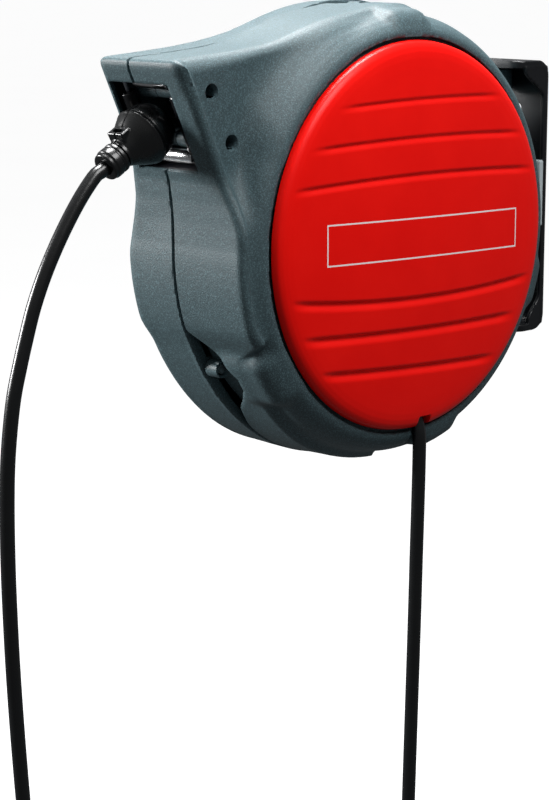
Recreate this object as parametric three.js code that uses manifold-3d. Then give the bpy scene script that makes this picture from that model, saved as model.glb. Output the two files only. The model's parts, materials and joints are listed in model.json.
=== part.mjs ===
// A wall-mounted extension cord reel: a spring-driven drum in a two-shell casing that swivels on a
// wall bracket, with a working cord that is drawn from the mouth and a supply cord that hangs below.
//
// Millimetres, +Z up. The origin is the centre of the bracket's back face, and the wall is the plane
// Y = 0. The reel stands in -Y, its mouth points away from the wall and its round cover faces +X.
// Most pieces are drawn in the reel's own frame, whose origin is on the drum's axis where the two
// casing shells meet. Its axes are parallel to the row's.

import * as THREE from 'three';
import { mergeVertices } from 'three/addons/utils/BufferGeometryUtils.js';
import Module from 'manifold-3d';

const wasm = await Module();
wasm.setup();

// ---------------------------------------------------------------- driving dimensions

const GAP = 0.3; // between pieces that touch
const DRUM_AXIS = new THREE.Vector3(0, -170, -11); // the reel frame's origin, seen from the wall
const CORD_R = 4.5;
const BORE_R = CORD_R + 0.4; // a hole that a cord passes through

const CASING_R = 148.5; // at the joint between the shells
const CASING_WALL = 3.5;
const JOINT = 0.15; // each shell stops this far from the joint plane
const REAR_FACE = -52;
const BULKHEAD = [40.5, 43.5]; // the wall between the drum room and the wiring room
const COVER_R = 125;
const COVER_SEAT = 57.5;

const MOUTH_TILT = THREE.MathUtils.degToRad(24.8); // the mouth's face leans out at its top
const MOUTH_CENTRE = [-167.7, 76]; // y and z, in the reel's frame
const MOUTH_HALF_HEIGHT = 29.7;
const MOUTH_SIDES = [-23, 30]; // x
const SNOUT_SIDES = [-31, 44]; // x
const COLLAR_SIDE = 50; // x of the thicker frame around the mouth
// The top of the snout from the round casing to the mouth: y and z.
const SNOUT_TOP_LINE = [[-20, 145.8], [-40, 141.4], [-60, 136], [-83, 129.8], [-110, 124.8], [-150, 120.7]];
const SNOUT_TOP = 118; // z

const CORD_X = 3.5; // the working cord runs in this plane
const BALL_R = 18;
const BALL_STANDS_OUT = 6.9; // from the mouth's face to the ball's centre
const BALL_TILT = THREE.MathUtils.degToRad(30);
const PACK_R = 108.4; // outside of the cord wound on the drum
const CORE_R = 55;
const FLANGE_R = 120;
const RATCHET_TEETH = 12;

const PIN_Y = -18; // the swivel pins, in front of the wall
const BRACKET = { half: 35, high: 94, plate: 3, flange: 5, bend: 11, inside: 5, tip: 31 };
const BARREL = { r: 13, z: [74.4, 87.4] };

const CASE_SCREW_R = 142;
const CASE_SCREW_ANGLES = [88, 213, 283, 340];
const SNOUT_SCREWS = [[16.2, 19.2], [-18.7, 20.9]]; // up the mouth's face, and in behind it

const FEED_EXIT = new THREE.Vector3(60.5, 8.2, -118);
const FEED_TILT = THREE.MathUtils.degToRad(20);
// Each cord comes to its hank, and leaves it, a little aside of the hank's middle.
const HANK = { run: 160, fold: 27, thick: 4 * CORD_R, aside: 5 };

// ---------------------------------------------------------------- materials

const finish = (color, roughness, metalness = 0) =>
  new THREE.MeshStandardMaterial({ color, roughness, metalness });
const casingPlastic = finish(0x66757c, 0.75);
const coverPlastic = finish(0xd81410, 0.3);
const blackPlastic = finish(0x17191b, 0.45);
const whitePlastic = finish(0xe6e6e2, 0.5);
const greyPlastic = finish(0xa9b4b9, 0.6);
const rubber = finish(0x101113, 0.6);
const steel = finish(0xb8bcc0, 0.3, 1);
const springSteel = finish(0x6d747a, 0.35, 1);
const brass = finish(0xc8a24a, 0.35, 1);
const carbon = finish(0x2b2b2d, 0.8);

// ---------------------------------------------------------------- solids

// The geometry with shared corners, no collapsed triangles, and its faces pointing out.
function closed(geometry) {
  const bare = new THREE.BufferGeometry();
  bare.setAttribute('position', geometry.getAttribute('position').clone());
  if (geometry.index) bare.setIndex(geometry.index.clone());
  const merged = mergeVertices(bare, 1e-3);
  const at = merged.getAttribute('position');
  const corner = (i) => new THREE.Vector3().fromBufferAttribute(at, i);
  const faces = [];
  let volume = 0;
  for (let k = 0; k < merged.index.count; k += 3) {
    const [a, b, c] = [0, 1, 2].map((j) => merged.index.getX(k + j));
    if (a === b || b === c || c === a) continue;
    faces.push([a, b, c]);
    volume += corner(a).dot(corner(b).cross(corner(c)));
  }
  merged.setIndex(faces.flatMap(([a, b, c]) => (volume < 0 ? [a, c, b] : [a, b, c])));
  return merged;
}

function solid(geometry) {
  const shape = closed(geometry);
  return new wasm.Manifold(new wasm.Mesh({
    numProp: 3,
    vertProperties: new Float32Array(shape.getAttribute('position').array),
    triVerts: new Uint32Array(shape.index.array),
  }));
}

function geometryOf(manifold) {
  const { vertProperties, triVerts } = manifold.getMesh();
  const geometry = new THREE.BufferGeometry();
  geometry.setAttribute('position', new THREE.BufferAttribute(vertProperties, 3));
  geometry.setIndex(new THREE.BufferAttribute(triVerts, 1));
  return geometry;
}

const joined = (first, ...others) => others.reduce((sum, s) => sum.add(s), first);
const cut = (first, ...tools) => tools.reduce((rest, s) => rest.subtract(s), first);

// A profile of [along the axis, radius] points turned about the X axis.
function turnedX(profile, segments = 32) {
  return turnedY(profile, segments).rotateZ(-Math.PI / 2);
}

function turnedY(profile, segments = 32) {
  const onAxis = profile[0][1] === 0 && profile.at(-1)[1] === 0;
  const closedProfile = onAxis ? profile : [...profile, profile[0]];
  const points = closedProfile.map(([along, r]) => new THREE.Vector2(r, along));
  return closed(new THREE.LatheGeometry(points, segments));
}

// An outline of [y, z] points, extruded along X.
function prism(outline, x0, x1) {
  const shape = new THREE.Shape(outline.map(([y, z]) => new THREE.Vector2(y, z)));
  const geometry = new THREE.ExtrudeGeometry(shape, { depth: x1 - x0, bevelEnabled: false });
  const turn = new THREE.Matrix4().makeBasis(
    new THREE.Vector3(0, 1, 0), new THREE.Vector3(0, 0, 1), new THREE.Vector3(1, 0, 0),
  );
  return geometry.applyMatrix4(turn).translate(x0, 0, 0);
}

// A cylinder along X, at y and z.
function rodX(r, x0, x1, y, z, segments = 16) {
  const rod = new THREE.CylinderGeometry(r, r, x1 - x0, segments);
  return rod.rotateZ(Math.PI / 2).translate((x0 + x1) / 2, y, z);
}

// A cylinder along Z, at x and y.
function rodZ(r, z0, z1, x, y, segments = 16) {
  const rod = new THREE.CylinderGeometry(r, r, z1 - z0, segments);
  return rod.rotateX(Math.PI / 2).translate(x, y, (z0 + z1) / 2);
}

function block(x0, x1, y0, y1, z0, z1) {
  const box = new THREE.BoxGeometry(x1 - x0, y1 - y0, z1 - z0);
  return box.translate((x0 + x1) / 2, (y0 + y1) / 2, (z0 + z1) / 2);
}

// Points on an arc about [y, z], from one angle to another, in degrees from +Y towards +Z.
function arc([y, z], r, from, to, steps) {
  return Array.from({ length: steps + 1 }, (_, k) => {
    const angle = THREE.MathUtils.degToRad(from + ((to - from) * k) / steps);
    return [y + r * Math.cos(angle), z + r * Math.sin(angle)];
  });
}

// Points on a curve that leaves the first point towards the second and ends in the third.
function bend([y0, z0], [y1, z1], [y2, z2], steps) {
  const curve = new THREE.QuadraticBezierCurve(
    new THREE.Vector2(y0, z0), new THREE.Vector2(y1, z1), new THREE.Vector2(y2, z2),
  );
  return curve.getPoints(steps).map((p) => [p.x, p.y]);
}

const polar = (r, degrees) => arc([0, 0], r, degrees, degrees, 1)[0];

// A round cord along a smooth curve through the points.
function cordAlong(points, steps, sides = 10) {
  const path = new THREE.CatmullRomCurve3(points, false, 'centripetal');
  const section = new THREE.Shape(new THREE.EllipseCurve(0, 0, CORD_R, CORD_R).getPoints(sides).slice(0, -1));
  return closed(new THREE.ExtrudeGeometry(section, { extrudePath: path, steps, bevelEnabled: false }));
}

// ---------------------------------------------------------------- groups

const reelOnWall = new THREE.Group();
const reel = new THREE.Group();
reel.position.copy(DRUM_AXIS);
reelOnWall.add(reel);

// The mouth's own frame: +Z up along its face, -Y out of it.
const mouth = new THREE.Group();
mouth.position.set(0, ...MOUTH_CENTRE);
mouth.rotation.x = MOUTH_TILT;
reel.add(mouth);

function add(group, name, shape, material) {
  const mesh = new THREE.Mesh(shape.isBufferGeometry ? closed(shape) : geometryOf(shape), material);
  mesh.name = name;
  group.add(mesh);
  return mesh;
}

// ---------------------------------------------------------------- outlines of the casing

// y of the mouth's face at a height, moved in by some depth.
function mouthFaceY(z, depth = 0) {
  return MOUTH_CENTRE[0] + (depth - Math.sin(MOUTH_TILT) * (z - MOUTH_CENTRE[1])) / Math.cos(MOUTH_TILT);
}

// A point of the mouth's frame, in the reel's frame: up along the face, and in behind it.
function mouthPoint(up, depth) {
  return [
    MOUTH_CENTRE[0] - Math.sin(MOUTH_TILT) * up + Math.cos(MOUTH_TILT) * depth,
    MOUTH_CENTRE[1] + Math.cos(MOUTH_TILT) * up + Math.sin(MOUTH_TILT) * depth,
  ];
}

// The snout, between the round casing and the mouth, drawn in by some depth all round.
function snoutOutline(depth) {
  const top = SNOUT_TOP - depth;
  const lip = MOUTH_CENTRE[1] - 27.1;
  const r = CASING_R - depth;
  return [
    [mouthFaceY(top, depth), top],
    ...bend([mouthFaceY(lip, depth), lip], [-149 + depth, 26], [-r, 0], 5),
    [-40, 0],
    [0, 40],
    [0, r - 0.4],
    ...SNOUT_TOP_LINE.map(([y, z]) => [y, z - depth]),
  ];
}

const mouthOpening = (x0, x1) => solid(prism([
  mouthPoint(MOUTH_HALF_HEIGHT, 12), mouthPoint(MOUTH_HALF_HEIGHT, -20),
  mouthPoint(-MOUTH_HALF_HEIGHT, -20), mouthPoint(-MOUTH_HALF_HEIGHT, 12),
], x0, x1));

const atScrews = (make) => CASE_SCREW_ANGLES.map((angle) => make(...polar(CASE_SCREW_R, angle)));
const atSnoutScrews = (make) => SNOUT_SCREWS.map(([up, depth]) => make(...mouthPoint(up, depth)));

// The casing's straight outer wall on one side of the joint, from one angle to another and out to x.
function belt(side, from, to, x) {
  const profile = [[JOINT, 120], [JOINT, CASING_R], [x - 8, 147.6], [x - 2, 145], [x, 142], [x, 120]];
  const wall = solid(turnedX(profile.map(([along, r]) => [side * along, r]), 48));
  const wedge = [[0, 0], ...arc([0, 0], 180, from, to, 4)];
  return wall.intersect(solid(prism(wedge, Math.min(0, 60 * side), Math.max(0, 60 * side))));
}

// One half of a hinge barrel and the web that carries it, at the top or the bottom of the casing.
function barrelHalf(side, end) {
  const [x0, x1] = side > 0 ? [JOINT, 40] : [-40, -JOINT];
  const y = PIN_Y - DRUM_AXIS.y;
  const [z0, z1] = BARREL.z.map((z) => end * z - DRUM_AXIS.z).sort((a, b) => a - b);
  const whole = joined(
    solid(rodZ(BARREL.r, z0, z1, 0, y, 28)),
    solid(block(-10, 10, 108, y, z0, z1)),
  );
  return whole.intersect(solid(block(x0, x1, 0, 200, -200, 200)));
}

function pinBore(end) {
  const low = end * 70 - DRUM_AXIS.z;
  const high = end * 95 - DRUM_AXIS.z;
  return solid(rodZ(4 + GAP, low, high, 0, PIN_Y - DRUM_AXIS.y));
}

// ---------------------------------------------------------------- casing shells

function rearShell() {
  const outside = joined(
    solid(turnedX([
      [REAR_FACE, 0], [REAR_FACE, 108], [-50.5, 122], [-46, 133], [-38, 141], [-26, 146.5],
      [-JOINT, CASING_R], [-JOINT, 0],
    ], 48)),
    belt(-1, 165, 268, 46),
    solid(prism(snoutOutline(0), SNOUT_SIDES[0], -JOINT)),
    barrelHalf(-1, 1),
    barrelHalf(-1, -1),
  );
  const inside = joined(
    solid(turnedX([
      [-48.5, 0], [-48.5, 111], [-44, 127], [-36.5, 136.5], [-26, 142.5], [1, CASING_R - CASING_WALL], [1, 0],
    ], 48)),
    solid(prism(snoutOutline(CASING_WALL), SNOUT_SIDES[0] + CASING_WALL, 1)),
  );
  const bosses = [
    ...atScrews((y, z) => solid(rodX(6.5, -30, -JOINT, y, z))),
    ...atSnoutScrews((y, z) => solid(rodX(5.3, SNOUT_SIDES[0] + 1, -JOINT, y, z))),
  ].map((boss) => boss.intersect(outside));
  const screwHoles = [
    ...atScrews((y, z) => solid(rodX(2.1, -22, 1, y, z, 12))),
    ...atSnoutScrews((y, z) => solid(rodX(2.1, -20, 1, y, z, 12))),
  ];
  return cut(
    joined(cut(outside, inside), ...bosses, solid(rodX(22, -49, -40, 0, 0, 32))),
    ...screwHoles,
    mouthOpening(MOUTH_SIDES[0], 1),
    solid(rodX(8 + GAP, -45 - GAP, -39, 0, 0, 24)),
    solid(rodX(9, -60, -49.5, 0, 0, 24)),
    solid(rodX(4, -50, -44, 0, 0, 16)),
    pinBore(1),
    pinBore(-1),
  );
}

function frontShell() {
  const snout = solid(prism(snoutOutline(0), JOINT, SNOUT_SIDES[1]));
  const collar = solid(prism([
    mouthPoint(60, -2), mouthPoint(-60, -2), mouthPoint(-60, 12), mouthPoint(60, 12),
  ], JOINT, COLLAR_SIDE)).intersect(solid(prism(snoutOutline(0), JOINT, COLLAR_SIDE)));
  const belts = [belt(1, 162, 225, 52), belt(1, 225, 268, 44), belt(1, 72, 97, 44)];
  const round = solid(turnedX([
    [JOINT, 0], [JOINT, CASING_R], [20, 145.5], [40, 143.5], [50, 141], [56, 138], [61, 134], [65, 130],
    [66.8, 127.6], [66.8, 0],
  ], 48));
  const outside = joined(round, ...belts, snout, collar, barrelHalf(1, 1), barrelHalf(1, -1));
  const drumRoom = joined(
    solid(turnedX([[-1, 0], [-1, 145], [20, 142], [BULKHEAD[0], 139.5], [BULKHEAD[0], 0]], 48)),
    solid(prism(snoutOutline(CASING_WALL), -1, BULKHEAD[0])),
  );
  const wiringRoom = solid(turnedX([
    [BULKHEAD[1], 0], [BULKHEAD[1], 136.5], [54.5, 133], [54.5, 122.5], [COVER_SEAT, 122.5],
    [COVER_SEAT, COVER_R + 1.4], [80, COVER_R + 1.4], [80, 0],
  ], 48));
  const pocketWall = (y, z) => solid(rodX(14, JOINT, 60, y * 1.035, z * 1.035, 28)).intersect(outside);
  const pocketWalls = atScrews(pocketWall);
  const pockets = atScrews((y, z) => solid(rodX(11, 7, 80, y * 1.035, z * 1.035, 28)));
  const screwTubes = atSnoutScrews((y, z) => solid(rodX(5.3, JOINT, 42, y, z)));
  const screwHoles = [
    ...atScrews((y, z) => solid(rodX(2.3, -1, 10, y, z, 12))),
    ...atSnoutScrews((y, z) => solid(rodX(2.3, -1, 14, y, z, 12))),
    ...atSnoutScrews((y, z) => solid(rodX(4, 12, 60, y, z))),
  ];
  const cordSlot = solid(block(53, 80, FEED_EXIT.y - 5.3, FEED_EXIT.y + 5.3, -150, -112));
  return cut(
    joined(cut(outside, drumRoom, wiringRoom), ...pocketWalls, ...screwTubes),
    ...pockets,
    ...screwHoles,
    cordSlot,
    mouthOpening(-1, MOUTH_SIDES[1]),
    solid(rodX(34, 39, 45, 0, 0, 32)),
    solid(rodX(2.1, 39, 45, ...pawlPivot, 12)),
    pinBore(1),
    pinBore(-1),
  );
}

function frontCover() {
  const dome = solid(turnedX([
    [71, 0], [70.3, 40], [68.2, 82], [66.1, 108], [64.8, 116.5], [62.6, 121.8],
    [60.4, 124.2], [COVER_SEAT + GAP, COVER_R], [COVER_SEAT + GAP, 121.8], [61.8, 116.5],
    [63.1, 108], [65.2, 82], [67.3, 40], [68, 0],
  ], 48));
  const snaps = [45, 135, 225, 315].map((angle) => solid(
    block(50, 61.5, 118.3, 121.3, -7, 7).rotateX(THREE.MathUtils.degToRad(angle)),
  ));
  const notch = block(50, 80, FEED_EXIT.y - 5.6, FEED_EXIT.y + 5.6, -130, -117.5);
  return cut(joined(dome, ...snaps), solid(notch), feedChannel(BORE_R));
}

// The straight bore that the supply cord takes under the cover.
function feedChannel(r) {
  const bore = rodZ(r, -12, 32, 0, 0).rotateY(-FEED_TILT);
  return solid(bore.translate(FEED_EXIT.x, FEED_EXIT.y, FEED_EXIT.z));
}

const screw = (headR, headLength, shankR, length) => turnedX([
  [headLength, 0], [headLength, headR * 0.8], [headLength * 0.6, headR], [0, headR],
  [0, shankR], [-length, shankR], [-length, 0],
], 12);

function addCasing() {
  add(reel, 'rear_shell', rearShell(), casingPlastic);
  add(reel, 'front_shell', frontShell(), casingPlastic);
  add(reel, 'front_cover', frontCover(), coverPlastic);
  atScrews((y, z) => [y, z]).forEach(([y, z], k) => {
    add(reel, `case_screw_${k + 1}`, screw(3.6, 3.4, 1.8, 27), steel).position.set(7 + GAP, y, z);
  });
  atSnoutScrews((y, z) => [y, z]).forEach(([y, z], k) => {
    const name = ['snout_screw_upper', 'snout_screw_lower'][k];
    add(reel, name, screw(3.6, 3.4, 1.8, 30), steel).position.set(12 + GAP, y, z);
  });
}

// ---------------------------------------------------------------- wall bracket and swivel

function wallBracket() {
  const { half, high, plate, flange, bend: r, inside: q, tip } = BRACKET;
  const channel = solid(prism([
    [-tip, high], ...arc([-r, high - r], r, 90, 0, 5), ...arc([-r, r - high], r, 0, -90, 5), [-tip, -high],
    [-tip, flange - high], ...arc([-plate - q, flange + q - high], q, -90, 0, 4),
    ...arc([-plate - q, high - flange - q], q, 0, 90, 4), [-tip, high - flange],
  ], -half, half));
  const plan = solid(turnedPlan());
  const skirt = (side, z0, z1, y0) => solid(block(
    side > 0 ? half - 3 : -half, side > 0 ? half : 3 - half, y0, -plate + 1, z0, z1,
  ));
  const skirts = [-1, 1].flatMap((side) => [
    skirt(side, 74, high - flange + 1, -27),
    skirt(side, -high + flange - 1, -76, PIN_Y),
  ]);
  const pinHoles = [1, -1].flatMap((end) => [
    solid(rodZ(4 + GAP, end > 0 ? 80 : -100, end > 0 ? 100 : -80, 0, PIN_Y)),
    solid(rodZ(6.8, end > 0 ? high - 2.6 : -100, end > 0 ? 100 : 2.6 - high, 0, PIN_Y)),
  ]);
  const wallScrewHoles = [[-10, -60], [10, -60], [-10, 60], [10, 60]].map(([x, z]) => solid(
    new THREE.CylinderGeometry(3.25, 3.25, 20, 16).translate(x, 0, z),
  ));
  return cut(joined(channel, ...skirts).intersect(plan), ...pinHoles, ...wallScrewHoles);

  // Seen from above, the flanges' front corners are rounded.
  function turnedPlan() {
    const corner = 11;
    const front = new THREE.Shape();
    front.moveTo(-half, 5);
    front.lineTo(half, 5);
    front.lineTo(half, corner - tip);
    front.absarc(half - corner, corner - tip, corner, 0, -Math.PI / 2, true);
    front.lineTo(corner - half, -tip);
    front.absarc(corner - half, corner - tip, corner, -Math.PI / 2, -Math.PI, true);
    const tall = new THREE.ExtrudeGeometry(front, { depth: 220, bevelEnabled: false, curveSegments: 6 });
    return tall.translate(0, 0, -110);
  }
}

// A bumper on the plate, which the casing meets at the end of its swivel.
function bumper() {
  const outline = new THREE.Shape();
  outline.moveTo(-3, -21);
  outline.lineTo(3, -21);
  outline.lineTo(3, 23);
  outline.lineTo(1, 25);
  outline.lineTo(-1, 25);
  outline.lineTo(-3, 23);
  const body = new THREE.ExtrudeGeometry(outline, { depth: 4, bevelEnabled: false }).rotateX(Math.PI / 2);
  return cut(solid(body), solid(block(-0.6, 0.6, -6, -2.5, 14, 20)));
}

function addBracket() {
  add(reelOnWall, 'wall_bracket', wallBracket(), blackPlastic);
  [['bumper_left', -1], ['bumper_right', 1]].forEach(([name, side]) => {
    add(reelOnWall, name, bumper(), greyPlastic).position.set(side * 32, -BRACKET.plate - GAP, 0);
  });
  [['top', 1], ['bottom', -1]].forEach(([where, end]) => {
    const head = BRACKET.high - 0.2;
    const pin = turnedY([
      [head, 0], [head, 6.5], [head - 2.2, 6.5], [head - 2.2, 4], [73, 4], [72, 3], [72, 0],
    ], 18);
    add(reelOnWall, `pivot_pin_${where}`, pin, steel).position.set(0, PIN_Y, 0);
    const low = BARREL.z[1] + GAP;
    const washer = turnedY([[low, 4 + GAP], [low, 11], [low + 1, 11], [low + 1, 4 + GAP]], 20);
    add(reelOnWall, `pivot_washer_${where}`, washer, whitePlastic).position.set(0, PIN_Y, 0);
    reelOnWall.children.slice(-2).forEach((mesh) => { mesh.rotation.x = end > 0 ? Math.PI / 2 : -Math.PI / 2; });
  });
}

// ---------------------------------------------------------------- rollers at the mouth

const ROLLER = { across: 12, acrossUp: 25.5, r: 4.5, upright: 8.5, uprightR: 5, uprightOff: 22 };

function rollerFrame() {
  const [x0, x1] = [SNOUT_SIDES[0] + CASING_WALL + GAP, 34.5];
  const outer = solid(block(x0, x1, 4, 14.4, -34, 34));
  const hollow = solid(block(x0 + 3, x1 - 3, 0, 20, -31, 31));
  const acrossHole = (end) => solid(rodX(1.5 + GAP, -60, 60, ROLLER.across, end * ROLLER.acrossUp, 12));
  const acrossHoles = [-1, 1].map(acrossHole);
  const uprightHoles = [-1, 1].map((side) => solid(
    rodZ(1.5 + GAP, -60, 60, CORD_X + side * ROLLER.uprightOff, ROLLER.upright, 12),
  ));
  const pastTubes = SNOUT_SCREWS.map(([up, depth]) => solid(rodX(5.9, -60, 60, depth, up)));
  return cut(outer, hollow, ...acrossHoles, ...uprightHoles, ...pastTubes);
}

const tubeAbout = (r, length, segments = 16) => turnedX([
  [-length / 2, 1.9], [-length / 2, r - 0.5], [0.5 - length / 2, r], [length / 2 - 0.5, r],
  [length / 2, r - 0.5], [length / 2, 1.9],
], segments);

function addRollers() {
  add(mouth, 'roller_frame', rollerFrame(), blackPlastic);
  const frameMiddle = (SNOUT_SIDES[0] + CASING_WALL + GAP + 34.5) / 2;
  [['top', 1], ['bottom', -1]].forEach(([where, end]) => {
    const up = end * ROLLER.acrossUp;
    add(mouth, `guide_roller_${where}`, tubeAbout(ROLLER.r, 29), steel).position.set(CORD_X, ROLLER.across, up);
    const axle = turnedX([[-30.6, 0], [-30.6, 1.5], [30.6, 1.5], [30.6, 0]], 12);
    add(mouth, `roller_axle_${where}`, axle, springSteel).position.set(frameMiddle, ROLLER.across, up);
  });
  [['left', -1], ['right', 1]].forEach(([where, side]) => {
    const x = CORD_X + side * ROLLER.uprightOff;
    const roller = tubeAbout(ROLLER.uprightR, 38.6).rotateY(Math.PI / 2);
    add(mouth, `guide_roller_${where}`, roller, blackPlastic).position.set(x, ROLLER.upright, 0);
    const axle = turnedX([[-33.6, 0], [-33.6, 1.5], [33.6, 1.5], [33.6, 0]], 12).rotateY(Math.PI / 2);
    add(mouth, `roller_axle_${where}`, axle, springSteel).position.set(x, ROLLER.upright, 0);
  });
}

// ---------------------------------------------------------------- drum, spring and ratchet

// A flat strip wound in a spiral.
function mainspring() {
  const turns = 5;
  const steps = turns * 11;
  const side = (offset) => Array.from({ length: steps + 1 }, (_, k) => {
    const angle = (2 * Math.PI * turns * k) / steps;
    const r = 14 + (34 * k) / steps + offset;
    return [r * Math.cos(angle), r * Math.sin(angle)];
  });
  return prism([...side(0.5), ...side(-0.5).reverse()], -33, -22);
}

function ratchetRing() {
  const pitch = 360 / RATCHET_TEETH;
  const teeth = Array.from({ length: RATCHET_TEETH }, (_, k) => {
    const start = ratchetPhase + k * pitch;
    return [
      ...arc([0, 0], 52, start - 0.25 * pitch, start + 0.25 * pitch, 1),
      ...arc([0, 0], 58, start + 0.28 * pitch, start + 0.72 * pitch, 1),
    ];
  }).flat();
  return cut(solid(prism(teeth, 33 + GAP, 37)), solid(rodX(44, 30, 40, 0, 0, 32)));
}

function addDrum() {
  add(reel, 'drum_axle', cut(
    solid(turnedX([[-45, 0], [-45, 8], [-39.7, 8], [-39.7, 17], [-36, 17], [-36, 8], [38, 8], [38, 0]], 20)),
    solid(rodX(4, -46, -28, 0, 0, 16)),
  ), steel);
  add(reel, 'axle_screw', turnedX([
    [-51.9, 0], [-51.9, 5.5], [-51.3, 6.5], [-49.8, 6.5], [-49.8, 3.7], [-31, 3.7], [-31, 0],
  ], 18), steel);
  add(reel, 'drum_rear', turnedX([
    [-20, 11.3], [-20, 52], [-35, 52], [-35, CORE_R], [-20, CORE_R], [-20, FLANGE_R], [-17, FLANGE_R],
    [-17, CORE_R], [6, CORE_R], [6, 52], [-17, 52], [-17, 15], [-6, 15], [-6, 11.3],
  ], 36), blackPlastic);
  add(reel, 'drum_front', turnedX([
    [33, 11.3], [33, FLANGE_R], [30, FLANGE_R], [30, CORE_R], [6 + GAP, CORE_R], [6 + GAP, 52],
    [30, 52], [30, 15], [19, 15], [19, 11.3],
  ], 36), blackPlastic);
  add(reel, 'wound_cord', turnedX([
    [-16.7, CORE_R + 0.4], [-16.7, PACK_R - 4], [-13, PACK_R], [26, PACK_R], [29.7, PACK_R - 4],
    [29.7, CORE_R + 0.4],
  ], 36), rubber);
  add(reel, 'drum_bush_rear', turnedX([[-19.7, 8.3], [-19.7, 11], [-6.3, 11], [-6.3, 8.3]], 20), brass);
  add(reel, 'drum_bush_front', turnedX([[19.3, 8.3], [19.3, 11], [32.7, 11], [32.7, 8.3]], 20), brass);
  add(reel, 'mainspring', mainspring(), springSteel);
  add(reel, 'ratchet_ring', ratchetRing(), steel);
  add(reel, 'slip_ring_carrier', turnedX([
    [33 + GAP, 8.6], [33 + GAP, 24], [38, 24], [38, 18], [58, 18], [58, 8.6],
  ], 24), blackPlastic);
  SLIP_RINGS.forEach(([name, x]) => {
    const ring = turnedX([[x - 1.5, 18.3], [x - 1.5, 22], [x + 1.5, 22], [x + 1.5, 18.3]], 24);
    add(reel, `slip_ring_${name}`, ring, brass);
  });
}

const PAWL = { pivotR: 74, pivotAngle: 150, reach: 24, rest: 35, engage: 16 };
const pawlPivot = polar(PAWL.pivotR, PAWL.pivotAngle);

// The angle of the ratchet's gap that the engaged pawl drops into.
const ratchetPhase = (() => {
  const lean = THREE.MathUtils.degToRad(PAWL.rest + PAWL.engage);
  const along = PAWL.reach * Math.cos(lean);
  const inward = PAWL.pivotR - PAWL.reach * Math.sin(lean);
  return PAWL.pivotAngle + THREE.MathUtils.radToDeg(Math.atan2(along, inward));
})();

function addPawl() {
  const lean = 90 + PAWL.pivotAngle + PAWL.rest;
  const tip = arc([0, 0], PAWL.reach, lean, lean, 1)[0];
  const outline = [...arc([0, 0], 5, lean + 75, lean + 285, 12), ...arc(tip, 1.7, lean - 80, lean + 80, 4)];
  const pawl = cut(solid(prism(outline, 0, 3)), solid(rodX(2.1, -1, 4, 0, 0, 14)));
  add(reel, 'ratchet_pawl', pawl, steel).position.set(33.8, ...pawlPivot);
  add(reel, 'pawl_pin', turnedX([[33.6, 0], [33.6, 1.8], [43.3, 1.8], [43.3, 0]], 12), steel)
    .position.set(0, ...pawlPivot);
  add(reel, 'pawl_spring', turnedX([[37.2, 2.2], [37.2, 4.2], [39.8, 4.2], [39.8, 2.2]], 14), springSteel)
    .position.set(0, ...pawlPivot);
}

// ---------------------------------------------------------------- wiring room

const SLIP_RINGS = [['live', 45.5], ['neutral', 50.5], ['earth', 55.5]];

function addWiring() {
  const slots = SLIP_RINGS.map(([, x]) => solid(block(x - 1.5, x + 1.5, -2.3, 2.3, 20, 42)));
  add(reel, 'brush_holder', cut(
    solid(block(BULKHEAD[1] + GAP, 58.5, -10, 10, 30, 46)), ...slots,
  ), whitePlastic);
  SLIP_RINGS.forEach(([name, x]) => {
    add(reel, `brush_${name}`, block(x - 1.2, x + 1.2, -2, 2, 22.3, 41.5), carbon);
  });
  const screwWells = [-11, 0, 11].map((y) => solid(rodX(2.2, 47, 60, y, -54, 12)));
  add(reel, 'terminal_block', cut(
    solid(block(BULKHEAD[1] + GAP, 53, -18, 18, -62, -46)), ...screwWells,
  ), whitePlastic);
}

// ---------------------------------------------------------------- supply cord

// A hank's outer shape, hanging in a Y-Z plane: an outline with round ends, its thickness along X.
function hankSolid() {
  const { run, fold, thick } = HANK;
  const upper = arc([0, run / 2], fold + CORD_R, 0, 180, 10);
  const ends = [...upper, ...arc([0, -run / 2], fold + CORD_R, 180, 360, 10)];
  return prism(ends, -CORD_R, thick - CORD_R);
}

const HANK_END = HANK.run / 2 + HANK.fold + CORD_R; // from a hank's middle to its top or bottom

const SUPPLY_ROUTE = [
  [64.1, 8.2, -138.5], [64.1, 7.9, -160], [64.1, 7.3, -185], [64.1, 6.6, -210], [64.1, 5.9, -240],
  [64.1, 5.1, -270], [64.1, 4.2, -300], [64.1, 3.3, -330], [64.1, 2.4, -360], [64.1, 1.7, -385],
  [64.1, 1.2, -406],
];
const SUPPLY_HANK = new THREE.Vector3(64.1, 6.2, -518);

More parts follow.
